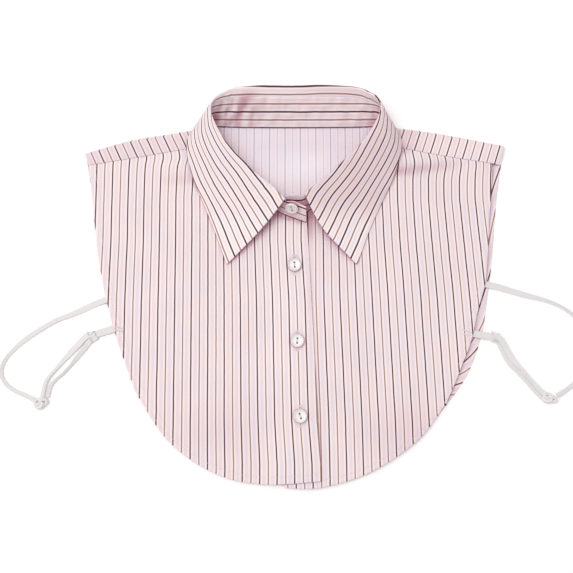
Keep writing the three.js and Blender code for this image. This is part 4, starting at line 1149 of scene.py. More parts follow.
def stitch_tree():
    """Nodes that lay one arched stitch after another along a line on the cloth."""
    tree = bpy.data.node_groups.new("Stitches along a line", "GeometryNodeTree")
    face = tree.interface
    face.new_socket(name="Geometry", in_out="OUTPUT", socket_type="NodeSocketGeometry")
    for name, kind in (
        ("Geometry", "Geometry"), ("Pitch", "Float"), ("Length", "Float"), ("Thread", "Float"),
        ("Turn", "Float"), ("Seed", "Int"), ("Material", "Material"),
    ):
        face.new_socket(name=name, in_out="INPUT", socket_type=f"NodeSocket{kind}")
    given = add_node(tree, "NodeGroupInput").outputs
    line_of = add_node(tree, "GeometryNodeMeshToCurve", {"Mesh": given["Geometry"]})
    spaced = add_node(tree, "GeometryNodeResampleCurve", {
        "Curve": line_of.outputs[0], "Length": given["Pitch"]}, mode="LENGTH")
    # A stitch rises from below the cloth to 1.3 threads above it and goes down again
    back, half, crown, sink, radius = (
        add_node(tree, "ShaderNodeMath", {0: given[size], 1: share}, operation="MULTIPLY").outputs[0]
        for size, share in (
            ("Length", -0.5), ("Length", 0.5), ("Thread", 1.3), ("Thread", -0.35), ("Thread", 0.5))
    )
    start = add_node(tree, "ShaderNodeCombineXYZ", {"X": back, "Z": sink})
    middle = add_node(tree, "ShaderNodeCombineXYZ", {"Z": crown})
    end = add_node(tree, "ShaderNodeCombineXYZ", {"X": half, "Z": sink})
    arch = add_node(tree, "GeometryNodeCurveQuadraticBezier", {
        "Resolution": 4, "Start": start.outputs[0], "Middle": middle.outputs[0], "End": end.outputs[0]})
    ring = add_node(tree, "GeometryNodeCurvePrimitiveCircle", {"Resolution": 5, "Radius": radius})
    thread = add_node(tree, "GeometryNodeCurveToMesh", {
        "Curve": arch.outputs[0], "Profile Curve": ring.outputs[0], "Fill Caps": True})
    tangent = add_node(tree, "GeometryNodeInputTangent")
    up = add_node(tree, "GeometryNodeInputNamedAttribute", {"Name": "up"}, data_type="FLOAT_VECTOR")
    along = add_node(tree, "FunctionNodeAlignRotationToVector", {"Vector": tangent.outputs[0]}, axis="X")
    standing = add_node(tree, "FunctionNodeAlignRotationToVector", {
        "Rotation": along.outputs[0], "Vector": up.outputs[0]}, axis="Z", pivot_axis="X")
    # Inputs 2 and 3 of a random value are its least and greatest float, and output 1 is the float
    jitter = add_node(tree, "FunctionNodeRandomValue", {2: -0.08, 3: 0.08, "Seed": given["Seed"]})
    angle = add_node(tree, "ShaderNodeMath", {0: jitter.outputs[1], 1: given["Turn"]}, operation="ADD")
    spin = add_node(tree, "FunctionNodeAxisAngleToRotation", {
        "Axis": (0.0, 0.0, 1.0), "Angle": angle.outputs[0]})
    turned = add_node(tree, "FunctionNodeRotateRotation", {
        "Rotation": standing.outputs[0], "Rotate By": spin.outputs[0]}, rotation_space="LOCAL")
    placed = add_node(tree, "GeometryNodeInstanceOnPoints", {
        "Points": spaced.outputs[0], "Instance": thread.outputs[0], "Rotation": turned.outputs[0]})
    real = add_node(tree, "GeometryNodeRealizeInstances", {"Geometry": placed.outputs[0]})
    done = add_node(tree, "GeometryNodeSetMaterial", {
        "Geometry": real.outputs[0], "Material": given["Material"]})
    add_node(tree, "NodeGroupOutput", {"Geometry": done.outputs[0]})
    return tree


def sew(name, lines, slot, material, pitch, length, thread, turn=0.0, seed=1):
    """Makes one piece of stitches along lines of (points, upward directions), all in millimetres."""
    points = np.concatenate([path for path, _ in lines])
    ups = np.concatenate([up for _, up in lines]).astype(np.float32)
    edges, start = [], 0
    for path, _ in lines:
        edges += [(start + k, start + k + 1) for k in range(len(path) - 1)]
        start += len(path)
    mesh = bpy.data.meshes.new(name)
    mesh.from_pydata(points * MM, edges, [])
    mesh.attributes.new("up", "FLOAT_VECTOR", "POINT").data.foreach_set("vector", ups.reshape(-1))
    guide = bpy.data.objects.new(name + "_guide", mesh)
    bpy.context.scene.collection.objects.link(guide)
    tree = bpy.data.node_groups.get("Stitches along a line") or stitch_tree()
    modifier = guide.modifiers.new("Stitches", "NODES")
    modifier.node_group = tree
    values = {
        "Pitch": pitch, "Length": length, "Thread": thread, "Turn": turn, "Seed": seed, "Material": material,
    }
    for item in tree.interface.items_tree:
        if item.item_type == "SOCKET" and item.name in values:
            modifier[item.identifier] = values[item.name]
    bpy.context.view_layer.update()
    sewn = bpy.data.meshes.new_from_object(guide.evaluated_get(bpy.context.evaluated_depsgraph_get()))
    bpy.data.objects.remove(guide)
    if not len(sewn.polygons):
        raise RuntimeError(f"{name}: no stitches were made")
    sewn.name = name
    sewn.materials.clear()
    return new_object(name, sewn, [material])


def upright_line(points):
    """A line to sew along, whose stitches arch straight up."""
    return points, np.tile((0, 0, 1.0), (len(points), 1))


def inset_line(middle, normals, half, along, from_end, inset, clip=0.0, face=1):
    """A line on the cloth at a distance from one edge of its grid.

    along is the grid axis that the line follows, from_end tells which edge it keeps to, clip is what
    it leaves off at its ends, and face is 1 for the upper face and -1 for the lower one.
    """
    if along == 1:
        middle, normals = middle.transpose(1, 0, 2), normals.transpose(1, 0, 2)
    if from_end:
        middle, normals = middle[:, ::-1], normals[:, ::-1]
    path, ups = [], []
    for points, facing in zip(middle, normals):
        length = lengths_along(points)
        path.append([np.interp(inset, length, points[:, axis]) for axis in range(3)])
        ups.append([np.interp(inset, length, facing[:, axis]) for axis in range(3)])
    path, ups = np.array(path), np.array(ups) * face
    length = lengths_along(path)
    keep = (length >= clip) & (length <= length[-1] - clip)
    path, ups = path[keep], ups[keep]
    return path + ups * (half + STITCH_LIFT), ups


# Operators, in the order in which main calls them

# The lines that the pieces of cloth leave for the stitching
STITCH_LINES = []


class DICKEY_OT_stage(bpy.types.Operator):
    """Sets the pale floor, the soft light and the camera at the photograph's angle"""

    bl_idname = "dickey.stage"
    bl_label = "Stage"

    def execute(self, context):
        scene = context.scene
        scene.view_settings.view_transform = "Standard"
        data = bpy.data.cameras.new("camera")
        data.sensor_width, data.lens = CAMERA_SENSOR, CAMERA_LENS
        data.clip_start, data.clip_end = 0.01, 20.0
        camera = bpy.data.objects.new("camera", data)
        tilt = math.radians(CAMERA_TILT)
        camera.location = Vector(CAMERA_TARGET) + CAMERA_AWAY * Vector((0, -math.sin(tilt), math.cos(tilt)))
        camera.rotation_euler = (tilt, 0, 0)
        corners = [(x * FLOOR_REACH, y * FLOOR_REACH, 0) for x, y in ((-1, -1), (1, -1), (1, 1), (-1, 1))]
        mesh = bpy.data.meshes.new("floor")
        mesh.from_pydata(corners, [], [(0, 1, 2, 3)])
        mesh.materials.append(material_called("Studio paper", studio_paper))
        floor = bpy.data.objects.new("floor", mesh)
        lamp = bpy.data.lights.new("key_light", "AREA")
        lamp.size, lamp.energy, lamp.color = KEY_SIZE, KEY_POWER, KEY_COLOUR
        light = bpy.data.objects.new("key_light", lamp)
        light.location = KEY_PLACE
        light.rotation_euler = (-light.location).to_track_quat("-Z", "Y").to_euler()
        for made in (camera, floor, light):
            scene.collection.objects.link(made)
        scene.camera = camera
        scene.world = bpy.data.worlds.new("studio")
        scene.world.use_nodes = True
        background = scene.world.node_tree.nodes["Background"]
        background.inputs["Color"].default_value = ROOM_COLOUR
        background.inputs["Strength"].default_value = ROOM_STRENGTH
        return {"FINISHED"}


class DICKEY_OT_ties(bpy.types.Operator):
    """Makes the elastic ties, the tabs that they hang from and their knots"""

    bl_idname = "dickey.ties"
    bl_label = "Elastic ties"

    def execute(self, context):
        trim = context.scene.dickey_trim
        elastic = trim_material(context, "Braided elastic", braided_elastic)
        section = flat_section(trim.elastic_width * 1000, trim.elastic_thickness * 1000)
        for side, tab, routes in (
            ("left", TAB_LEFT, (LONG_LEFT, OUTER_LEFT, INNER_LEFT)),
            ("right", TAB_RIGHT, (LONG_RIGHT, OUTER_RIGHT, INNER_RIGHT)),
        ):
            knot = self.make_knot(side, elastic)
            self.make_tab(side, tab, elastic)
            for kind, route in zip(("long", "outer", "inner"), routes):
                steps = np.linspace(0, len(route) - 1, 10 * (len(route) - 1) + 1)
                dense = catmull(route, steps, extend=True)
                path, share = dense[:, :3], dense[:, 4:]
                across, up = frames_along(path, dense[:, 3])
                node = f"tie_{kind}_{side}"
                piece = elastic_piece(node, path, across * share, up / share, section, elastic)
        return {"FINISHED"}

    def make_knot(self, side, elastic):
        """An overhand knot, pulled tight."""
        x, y, turn, wide, deep = KNOTS[side]
        around = np.linspace(0, 2 * math.pi, 120, endpoint=False)
        radius = KNOT_RADIUS + KNOT_WAVE * np.cos(3 * around)
        loop = np.stack([
            wide * (radius * np.cos(2 * around) - KNOT_SHIFT), deep * radius * np.sin(2 * around),
            KNOT_HEIGHT + KNOT_RISE * np.sin(3 * around),
        ], axis=1)
        cos, sin = math.cos(math.radians(turn)), math.sin(math.radians(turn))
        rotate = np.array([(cos, -sin, 0), (sin, cos, 0), (0, 0, 1)])
        path = loop @ rotate.T + (x, y, 0)
        forward = unit(np.roll(path, -1, 0) - np.roll(path, 1, 0))
        across = unit(np.cross(forward, path - (x, y, KNOT_HEIGHT)))
        up = np.cross(across, forward)
        section = flat_section(KNOT_WIDTH, KNOT_THICKNESS, 12)
        node = f"tie_knot_{side}"
        return elastic_piece(node, path, across, up, section, elastic, KNOT_LOWEST, closed=True)

    def make_tab(self, side, route, elastic):
        """A short doubled elastic, folded back on itself at its free end."""
        centre = catmull(route, np.linspace(0, len(route) - 1, 24), extend=True)
        length = lengths_along(centre)
        upward = np.array((0, 0, 1))
        turn = np.linspace(-math.pi / 2, math.pi / 2, 9)
        forward = unit(centre[-1] - centre[-2])
        fold = np.outer(1.6 * np.cos(turn), forward) + np.outer(np.sin(turn), upward)
        bend = centre[-1] + TAB_FOLD_R * fold
        # The layers lie together at the sewn end and part towards the fold
        parting = TAB_FOLD_R * smooth(0.3 * length[-1], length[-1], length)[:-1, None]
        apart = (parting + TAB_APART) * upward
        path = np.vstack([centre[:-1] - apart, bend, (centre[:-1] + apart)[::-1]])
        run = unit(centre[-1, :2] - centre[0, :2])
        across = np.tile((-run[1], run[0], 0), (len(path), 1))
        up = np.cross(heading(path), across)
        elastic_piece(f"tie_tab_{side}", path, across, up, flat_section(TAB_WIDTH, TAB_THICKNESS), elastic)


class DICKEY_OT_back_panel(bpy.types.Operator):
    """Makes the back panel, which folds forward over the shoulders"""

    bl_idname = "dickey.back_panel"
    bl_label = "Back panel"

    def execute(self, context):
        crease = context.scene.dickey_cloth.crease
        half, repeat, hem = cloth_sizes(context)
        top, (left_fold, right_fold) = back_top()
        sides = [plan([*LEFT_SIDE[:-1], left_fold(0.0)]), plan([*RIGHT_BACK_SIDE[:-1], right_fold(0.0)])]
        bottom = plan(BACK_HEM)
        place = np.concatenate([np.linspace(*span, endpoint=False) for span in TOP_SPANS] + [[TOP_END]])
        flat = patch(bottom, top, *sides, place / TOP_END, np.linspace(0, 1, FLAT_CELLS + 1))
        bent = FLAT_CELLS + BEND_CELLS
        columns, rows = len(place), bent + STRAP_CELLS + 1
        # middle is the cloth as it lies, and spread the same points laid out flat, for the stripes
        middle, spread = np.zeros((columns, rows, 3)), np.zeros((columns, rows, 2))
        thin = np.zeros((columns, rows))
        x, y = flat[..., 0], flat[..., 1]
        from_top = distance_to(flat, top(np.linspace(0, 1, 240)))
        height = back_height(x, y) + back_relief(x, y, from_top, crease)
        middle[:, :FLAT_CELLS + 1] = np.concatenate([flat, height[..., None]], axis=-1)
        spread[:, :FLAT_CELLS + 1] = flat
        for span, from_corner, fold, seam, seam_row, fold_row in (
            (LEFT_SPAN, place, left_fold, LEFT_SEAM, SEAM_ROW, FOLD_ROW),
            (RIGHT_SPAN, TOP_END - place, right_fold, RIGHT_SEAM, LAST_ROW - SEAM_ROW, LAST_ROW - FOLD_ROW),
        ):
            start = flat[span, -1]
            low = back_height(start[:, 0], start[:, 1])
            for step in range(1, BEND_CELLS + 1):
                turn, at = math.pi * step / BEND_CELLS, FLAT_CELLS + step
                middle[span, at, :2] = start + (0, SHOULDER_R * math.sin(turn))
                middle[span, at, 2] = low + SHOULDER_R * (1 - math.cos(turn))
                spread[span, at] = start + (0, SHOULDER_R * turn)
            along = np.linspace(0, 1, STRAP_CELLS + 1)
            strap = self.strap(fold, seam, seam_row, fold_row, from_corner[span] / FOLD_END, along)
            height = self.strap_height(strap, low + 2 * SHOULDER_R, along, crease, half)
            middle[span, bent:] = np.concatenate([strap, height[..., None]], axis=-1)
            spread[span, bent:] = self.carried_on(strap, fold)
            thin[span, bent:] = EDGE_THINNING * smooth(0.6, 1, along)
        cells = np.zeros((columns - 1, rows - 1), bool)
        cells[:, :FLAT_CELLS] = True
        cells[:SHOULDER_CELLS] = True
        cells[-SHOULDER_CELLS:] = True
        share = np.linspace(0, 1, 260)
        edges = np.vstack([sides[0](share), bottom(share), sides[1](share)])
        from_edge = distance_to(middle, edges)
        outer = self.pattern(spread, repeat)
        # The hem is turned to the inside, so there it shows the outer face, mirrored about the edge
        turned = from_edge < hem + TURNED_EXTRA
        turned[:, FLAT_CELLS + 1:] = False
        inner = np.where(turned[..., None], self.pattern(self.mirrored(spread, edges), repeat), outer)
        face_out = turned[:-1, :-1] & turned[1:, :-1] & turned[1:, 1:] & turned[:-1, 1:]
        x, y = middle[..., 0], middle[..., 1]
        # Painted shade on the straps, from the fronts' spots and their own, more on the right strap by the
        # neck; the back up to its fold gets painted light on its inside instead
        extra, far, near = STRAP_NECK_PAINTED_SHADE
        by_side = np.where(x < 0, STRAP_PAINTED_SHADE[0], STRAP_PAINTED_SHADE[1] + extra * smooth(far, near, x))
        hollow = painted_shade_at(x, y) + by_side
        at_x, at_y, depth, wide, tall = BACK_PAINTED_LIGHT
        hollow[:, :bent] = depth * swell(x, y, at_x, at_y, wide, tall)[:, :bent]
        # The grid's upper face is the inside of the back, up to the fold
        mesh = cloth_mesh("back_cloth", middle, half - thin, inner, outer, from_edge, cells,
                          over_slot=np.where(face_out, 0, 1), under_slot=0, hollow=hollow)
        cloth_piece("back_panel", mesh, cloth_materials(context))
        self.mark_stitching(middle, grid_normals(middle, cells), half, hem)
        return {"FINISHED"}

    def strap(self, fold, seam, seam_row, fold_row, shares, along):
        """Plan of the cloth that is turned forward, from the shoulder fold to the front seam."""
        seam_edge = plan([*seam, neck_edge(seam_row)])
        armhole_end = plan([fold(0.0), seam[0]])
        away = fold(1.0) - neck_edge(fold_row)

        def neck_end(share):
            ease = np.clip(1 - 3 * share, 0, 1)[..., None]
            return neck_edge(fold_row + (seam_row - fold_row) * share) + away * ease

        return patch(fold, seam_edge, armhole_end, neck_end, shares, along)

    def strap_height(self, strap, rest, along, crease, half):
        """Height of a strap, which eases from its fold to the front that it is sewn to."""
        x, y = strap[..., 0], strap[..., 1]
        eased = smooth(0, 1, along)
        height = rest[:, None] + (front_height(x, y, 1) - rest[:, None]) * along
        height += (front_relief(x, y, crease) + STRAP_EDGE_RISE) * eased
        height += STRAP_SWELL * np.sin(math.pi * along)
        # The right strap's free corner droops beside the front onto the inside of the back
        droop = smooth(*CORNER_DROOP, x) * eased
        return height + (BACK_Z + 2 * half + 0.1 - height) * droop

    def carried_on(self, strap, fold):
        """Where the strap would lie if it went on past its fold: its mirror image, for the stripes."""
        start, end = fold(np.array((0.0, 1.0)))
        along = unit(end - start)
        normal = np.array((-along[1], along[0])) * np.sign(along[0])
        beyond = ((strap - start) @ normal)[..., None]
        return strap - 2 * beyond * normal + (0, math.pi * SHOULDER_R)

    def pattern(self, spread, repeat):
        """Place in the stripes of points laid out flat."""
        return np.stack([back_pattern(spread[..., 0]), spread[..., 1] / repeat], axis=-1)

    def mirrored(self, points, path):
        """Each point's mirror image in the nearest stretch of a path."""
        flat = points.reshape(-1, 2)
        best = np.full(len(flat), np.inf)
        nearest = np.zeros(len(flat), int)
        for number, spot in enumerate(path):
            gap = np.hypot(flat[:, 0] - spot[0], flat[:, 1] - spot[1])
            nearest[gap < best] = number
            best = np.minimum(best, gap)
        ahead = heading(path)[nearest]
        normal = np.stack([-ahead[:, 1], ahead[:, 0]], axis=1)
        beyond = ((flat - path[nearest]) * normal).sum(1, keepdims=True)
        return (flat - 2 * beyond * normal).reshape(points.shape)

    def mark_stitching(self, middle, normals, half, hem):
        """Keeps the lines of stitches along the hem, the sides and the front seams."""
        body, strap = slice(0, FLAT_CELLS + 1), slice(FLAT_CELLS + BEND_CELLS, None)
        inset = hem - STITCH_INSET
        for face, sunk in ((1, 0), (-1, UNDER_STITCH_SINK)):
            for axis, from_end in ((0, False), (1, False), (1, True)):
                STITCH_LINES.append(inset_line(
                    middle[:, body], normals[:, body], half - sunk, axis, from_end, inset, 4, face))
        for span in (LEFT_SPAN, RIGHT_SPAN):
            STITCH_LINES.append(inset_line(
                middle[span, strap], normals[span, strap], half - 0.1, 0, True, SEAM_STITCH_INSET, 3))


class DICKEY_OT_front_panels(bpy.types.Operator):
    """Makes the two fronts, the left one lapped over the right one"""

    bl_idname = "dickey.front_panels"
    bl_label = "Front panels"

    def execute(self, context):
        crease = context.scene.dickey_cloth.crease
        half, repeat, hem = cloth_sizes(context)
        columns, rows = (np.linspace(0, 1, cells + 1) for cells in FRONT_CELLS)
        for side, word in ((-1, "left"), (1, "right")):
            flat, edges = front_grid(side, columns, rows)
            x, y = flat[..., 0], flat[..., 1]
            by_seam = smooth(8, 0, distance_to(flat, edges["seam"]))
            middle = front_points(x, y, side, crease, -FRONT_EDGE_DROP * by_seam)
            pattern = np.stack([front_pattern(x, y, side), y / repeat], axis=-1)
            from_edge = np.minimum(distance_to(flat, edges["hem"]), distance_to(flat, edges["side"]))
            # The painted shade by the placket belongs to the right front, so it ends at the left one's edge
            hollow = painted_shade_at(x, y) * (smooth(10, 6, x) if side < 0 else 1)
            mesh = cloth_mesh(f"front_cloth_{word}", middle, half - EDGE_THINNING * by_seam, pattern,
                              edge=from_edge, hollow=hollow)
            cloth_piece(f"front_panel_{word}", mesh, cloth_materials(context))
            normals = grid_normals(middle)
            inset = hem - STITCH_INSET
            for axis, from_end, clip in ((0, False, 2), (1, side > 0, 4)):
                STITCH_LINES.append(inset_line(middle, normals, half, axis, from_end, inset, clip))
        return {"FINISHED"}


class DICKEY_OT_collar_stand(bpy.types.Operator):
    """Makes the upright band round the neck, with its buttoned tab"""

    bl_idname = "dickey.collar_stand"
    bl_label = "Collar stand"

    def execute(self, context):
        half, repeat, _ = cloth_sizes(context)
        row_cells, share_cells = STAND_CELLS
        rows, shares = np.linspace(0, STAND_LAST_ROW, row_cells + 1), np.linspace(0, 1, share_cells + 1)
        middle = stand_grid(rows, shares)
        height = np.linalg.norm(middle - middle[:, :1], axis=-1)
        along = lengths_along(middle[:, 0])[:, None]
        rows = rows[:, None]
        # The stripes run lower where the neck seam turns from the sides to the back
        lower = sum(STAND_DIP * bell(rows, at, 1.2) for at in STAND_DIP_ROWS)
        stripe = (height + lower + STAND_OFFSET) / STAND_REPEAT
        pattern = np.stack([stripe, np.broadcast_to(along, height.shape) / repeat], axis=-1)
        crinkle = ripples(along, 0.4 * height, seed=8, longest=15)
        between = np.sin(math.pi * shares) * smooth(0, 5, rows) * smooth(0, 5, STAND_LAST_ROW - rows)
        wrinkle = (0.9 * ripples(along, height, seed=31, longest=24) + 0.35 * crinkle) * between
        middle += grid_normals(middle) * (context.scene.dickey_cloth.crease * wrinkle)[..., None]
        # Painted shade on the back of the stand, which follows its crinkles and is deepest on the left, and
        # the painted shadow of a crease across its seam with the leaf
        x, y = middle[..., 0], middle[..., 1]
        hollow = (0.25 + 0.75 * bell(x, STAND_SHADE_X, 22)) * np.clip(0.4 + 0.9 * crinkle, 0, 1)
        hollow += SEAM_CREASE_SHADE * swell(x, shares, STAND_CREASE_SHADE_X, 1, SEAM_CREASE_REACH, 0.3)
        hollow *= smooth(120, 135, y)
        mesh = cloth_mesh("collar_stand_cloth", middle, half, pattern, under_slot=0, hollow=hollow)
        cloth_piece("collar_stand", mesh, cloth_materials(context)[2:])
        normals = grid_normals(middle)
        for face in (1, -1):
            STITCH_LINES.append(inset_line(middle, normals, half, 0, False, STAND_STITCH_INSET, 3, face))
        return {"FINISHED"}


class DICKEY_OT_collar_leaf(bpy.types.Operator):
    """Makes the turned-down leaf with its two points"""

    bl_idname = "dickey.collar_leaf"
    bl_label = "Collar leaf"

    def execute(self, context):
        half, repeat, _ = cloth_sizes(context)
        row_cells, share_cells = LEAF_CELLS
        rows = np.linspace(0, LAST_ROW, row_cells + 1)
        middle = leaf_grid(rows, np.linspace(0, 1, share_cells + 1))
        steps = np.linalg.norm(np.diff(middle, axis=1), axis=-1)
        down = np.concatenate([np.zeros((len(rows), 1)), np.cumsum(steps, axis=1)], axis=1)
        from_edge = down[:, -1:] - down
        along = np.broadcast_to(lengths_along(edge_line(rows))[:, None], down.shape)
        pattern = np.stack([leaf_pattern(rows, from_edge), along / repeat], axis=-1)
        rows = rows[:, None]
        wrinkle = self.wrinkles(rows, down, from_edge)
        middle += grid_normals(middle) * (context.scene.dickey_cloth.crease * wrinkle)[..., None]
        middle[..., 2] = np.maximum(middle[..., 2], half + 0.05)
        x, y = middle[..., 0], middle[..., 1]
        # Painted light on the left leaf and painted shade on the right one, fading towards the points and
        # weaker round the back; painted light on the points; and the painted shadow of a crease by the seam
        left, right = LEAF_PAINTED_SHADE
        hollow = left + (right - left) * smooth(14, 17, rows)
        hollow = hollow * smooth(33, 80, y) * (1 - 0.4 * smooth(95, 135, y))
        hollow += LEAF_POINT_PAINTED_LIGHT * smooth(70, 45, y)
        crease = swell(x, down, LEAF_CREASE_SHADE_X, 0, SEAM_CREASE_REACH, 5)
        hollow += SEAM_CREASE_SHADE * crease * smooth(120, 135, y)
        mesh = cloth_mesh("collar_leaf_cloth", middle, half, pattern, under_slot=0, hollow=hollow)
        cloth_piece("collar_leaf", mesh, cloth_materials(context)[2:])
        return {"FINISHED"}

    def wrinkles(self, rows, down, from_edge):
        """Soft waves over the leaf, stronger ones on the shoulders and small pleats on the left roll."""
        along = rows * LEAF_ROW_LENGTH
        waves = 0.22 * ripples(along, from_edge, seed=21, longest=46)
        for row, reach in LEAF_WAVES:
            waves += 0.45 * bell(rows, row, reach) * ripples(along, 0.5 * from_edge, seed=5, longest=15)
        waves *= smooth(2, 12, from_edge) * smooth(0, 8, down)
        pleats = bell(rows, *LEAF_PLEATS) * smooth(0, 3, down) * smooth(15, 9, down)
        return waves + 0.5 * pleats * ripples(along, 0.6 * down, seed=8, longest=8)


class DICKEY_OT_buttons(bpy.types.Operator):
    """Makes the four two-hole buttons with their thread"""

    bl_idname = "dickey.buttons"
    bl_label = "Buttons"

    def execute(self, context):
        crease = context.scene.dickey_cloth.crease
        half = cloth_sizes(context)[0]
        for name, (x, y, turn) in FRONT_BUTTONS.items():
            place = front_points(x, y, -1, crease, half + BUTTON_GAP)
            self.make_button(context, name, Vector(place) * MM, Vector((0, 0, 1)), turn)
        rows = np.array((COLLAR_BUTTON_ROW, 0.8 * COLLAR_BUTTON_ROW))
        spot, beside = stand_grid(rows, np.array((COLLAR_BUTTON_SHARE, 1.0)))
        along, up = Vector(beside[0] - spot[0]), Vector(spot[1] - spot[0])
        facing = along.cross(up).normalized()
        place = (Vector(spot[0]) + facing * (half + BUTTON_LIFT)) * MM
        # The button hangs forward on its thread
        facing = (facing + Vector(BUTTON_DROOP)).normalized()
        self.make_button(context, "collar_button", place, facing, COLLAR_BUTTON_TURN)
        return {"FINISHED"}

    def make_button(self, context, node, place, facing, turn):
        """Turns one button, drills it, sews it on and sets it in its place."""
        trim = context.scene.dickey_trim
        body = self.turned(context, trim.button_width / 2, trim.button_height)
        mesh = self.drilled(context, body, trim.button_height)
        shape = bmesh.new()
        shape.from_mesh(mesh)
        for face in shape.faces:
            face.material_index = 0
        for path, radius in self.strands(trim.button_height):
            self.add_strand(shape, path, radius)
        bmesh.ops.recalc_face_normals(shape, faces=shape.faces)
        shape.to_mesh(mesh)
        shape.free()
        rotation = facing.to_track_quat("Z", "Y").to_matrix().to_4x4()
        mesh.transform(Matrix.Translation(place) @ rotation @ Matrix.Rotation(math.radians(turn), 4, "Z"))
        mesh.materials.clear()
        mesh.name = node + "_polyester"
        materials = [
            trim_material(context, "Cast polyester button", cast_polyester),
            trim_material(context, "Spun polyester thread", spun_thread),
        ]
        piece = new_object(mesh.name, mesh, materials, math.radians(BUTTON_SHARP))
        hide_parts(node)

    def turned(self, context, radius, height):
        """The button's disc, turned from its outline."""
        shape = bmesh.new()
        outline = [shape.verts.new((radius * out, 0, height * up)) for out, up in BUTTON_OUTLINE]
        for ends in zip(outline, outline[1:]):
            shape.edges.new(ends)
        bmesh.ops.spin(shape, geom=shape.verts[:] + shape.edges[:], axis=(0, 0, 1), cent=(0, 0, 0),
                       angle=2 * math.pi, steps=56, use_merge=True)
        bmesh.ops.remove_doubles(shape, verts=shape.verts, dist=1e-6)
        bmesh.ops.recalc_face_normals(shape, faces=shape.faces)
        return self.working_object(context, "disc", shape)

    def drilled(self, context, body, height):
        """Mesh of the disc with its two tapered holes."""
        used = [body]
        for side in (-1, 1):
            drill = bmesh.new()
            low, high = HOLE_RADII
            bmesh.ops.create_cone(
                drill, cap_ends=True, segments=20, radius1=low, radius2=high, depth=2.2 * height)
            bmesh.ops.translate(drill, verts=drill.verts, vec=(0, side * HOLE_AWAY, 0.45 * height))
            used.append(self.working_object(context, "drill", drill))
            cut = body.modifiers.new("Hole", "BOOLEAN")
            cut.operation, cut.solver, cut.object = "DIFFERENCE", "EXACT", used[-1]
        context.view_layer.update()
        mesh = bpy.data.meshes.new_from_object(body.evaluated_get(context.evaluated_depsgraph_get()))
        for helper in used:
            bpy.data.objects.remove(helper)
        return mesh

    def working_object(self, context, name, shape):
        """An object that is only needed while the button is made."""
        mesh = bpy.data.meshes.new(name)
        shape.to_mesh(mesh)
        shape.free()
        made = bpy.data.objects.new(name, mesh)
        context.scene.collection.objects.link(made)
        return made

    def strands(self, height):
        """Paths and radii of the thread: two strands from hole to hole, and the shank under the button."""
        share = np.linspace(-1, 1, 13)
        found = []
        for offset in (-STRAND_AWAY, STRAND_AWAY):
            across = offset * (1 + 0.3 * np.cos(3 * share))
            rise = 0.81 * height + 0.4 * offset - STRAND_DIP * np.abs(share) ** 5
            found.append((np.stack([across, share * STRAND_REACH, rise], axis=1), STRAND_RADIUS))
        shank = np.linspace(*SHANK_ENDS, 4)
        return [*found, (np.stack([0 * shank, 0 * shank, shank], axis=1), SHANK_RADIUS)]

    def add_strand(self, shape, path, radius):
        """Adds a round strand along a path to the button."""
        across = np.tile((1.0, 0, 0), (len(path), 1))
        turn = np.arange(8) / 8 * 2 * math.pi
        section = np.stack([np.cos(turn), np.sin(turn)], axis=1) * radius
        points, faces, caps = tube(path, across, np.cross(heading(path), across), section)
        verts = [shape.verts.new(point) for point in points]
        for corners in [*faces, *caps]:
            shape.faces.new([verts[number] for number in corners]).material_index = 1


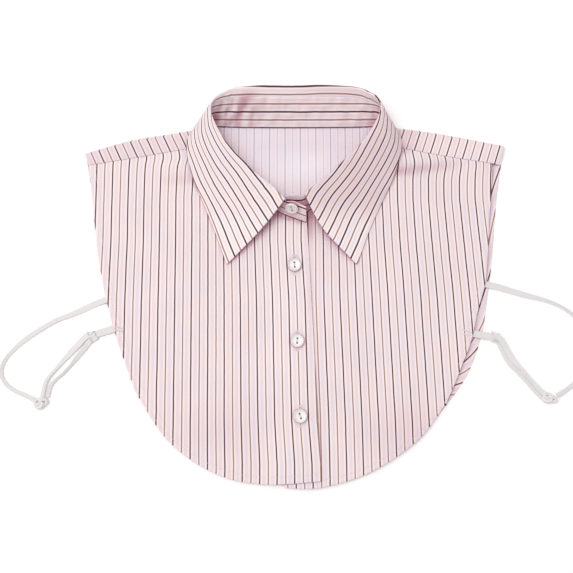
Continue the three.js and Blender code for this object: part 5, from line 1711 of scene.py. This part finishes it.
class DICKEY_OT_stitching(bpy.types.Operator):
    """Sews the hems, the collar's edges, the buttonholes and the bar tacks"""

    bl_idname = "dickey.stitching"
    bl_label = "Stitching"

    def execute(self, context):
        if not STITCH_LINES:
            raise RuntimeError("The cloth has to be made before it is stitched")
        trim = context.scene.dickey_trim
        crease = context.scene.dickey_cloth.crease
        lift = cloth_sizes(context)[0] + BAR_LIFT
        along, across = np.linspace(-HOLE_HALF, HOLE_HALF, 30), np.linspace(-BAR_HALF, BAR_HALF, 8)
        holes, bars = [], []
        for x, y, _ in FRONT_BUTTONS.values():
            for side in (-1, 1):
                holes.append(upright_line(front_points(x + side * HOLE_SPREAD, y + along, -1, crease, lift)))
                bars.append(upright_line(front_points(x + across, y + side * HOLE_END, -1, crease, lift)))
        for start, end in CLOTH_BARS:
            x, y = np.linspace(start, end, 12).T
            bars.append(upright_line(front_points(x, y, math.copysign(1, start[0]), crease, lift)))
        strands = [upright_line(np.linspace(start, end, 12)) for start, end in STRAND_BARS]
        thread = trim_material(context, "Spun polyester thread", spun_thread)
        white = trim_material(context, "White polyester thread", spun_thread, True)
        seam_stitch = (trim.stitch_pitch, trim.stitch, trim.thread)
        quarter = math.pi / 2
        sew("topstitching", STITCH_LINES, "striped_cotton", thread, *seam_stitch)
        sew("buttonhole_stitches", holes, "striped_cotton", thread, *HOLE_STITCH, quarter, 5)
        sew("buttonhole_bars", bars, "striped_cotton", thread, *BAR_STITCH, quarter, 6)
        sew("strand_bars", strands, "white_elastic", white, *BAR_STITCH, quarter, 7)
        return {"FINISHED"}


class DICKEY_PT_panel(bpy.types.Panel):
    """Sidebar panel with the sizes, the colours and one button for each step"""

    bl_idname = "DICKEY_PT_panel"
    bl_label = "Striped dickey"
    bl_space_type = "VIEW_3D"
    bl_region_type = "UI"
    bl_category = "Dickey"

    def draw(self, context):
        layout = self.layout
        for group in (context.scene.dickey_cloth, context.scene.dickey_trim):
            box = layout.box()
            for name in group.__annotations__:
                box.prop(group, name)
        column = layout.column(align=True)
        for operator in OPERATORS:
            column.operator(operator.bl_idname)


OPERATORS = (
    DICKEY_OT_stage, DICKEY_OT_ties, DICKEY_OT_back_panel, DICKEY_OT_front_panels,
    DICKEY_OT_collar_stand, DICKEY_OT_collar_leaf, DICKEY_OT_buttons, DICKEY_OT_stitching,
)
CLASSES = (DickeyClothSettings, DickeyTrimSettings, *OPERATORS, DICKEY_PT_panel)


def register():
    """Adds the settings, the steps and the panel to Blender."""
    for kind in CLASSES:
        bpy.utils.register_class(kind)
    bpy.types.Scene.dickey_cloth = PointerProperty(type=DickeyClothSettings)
    bpy.types.Scene.dickey_trim = PointerProperty(type=DickeyTrimSettings)


def unregister():
    """Takes them out again."""
    del bpy.types.Scene.dickey_trim
    del bpy.types.Scene.dickey_cloth
    for kind in reversed(CLASSES):
        bpy.utils.unregister_class(kind)


def main():
    """Makes the whole dickey."""
    register()
    for operator in OPERATORS:
        step = operator.bl_idname.split(".")[1]
        getattr(bpy.ops.dickey, step)()


if __name__ == "__main__":
    main()
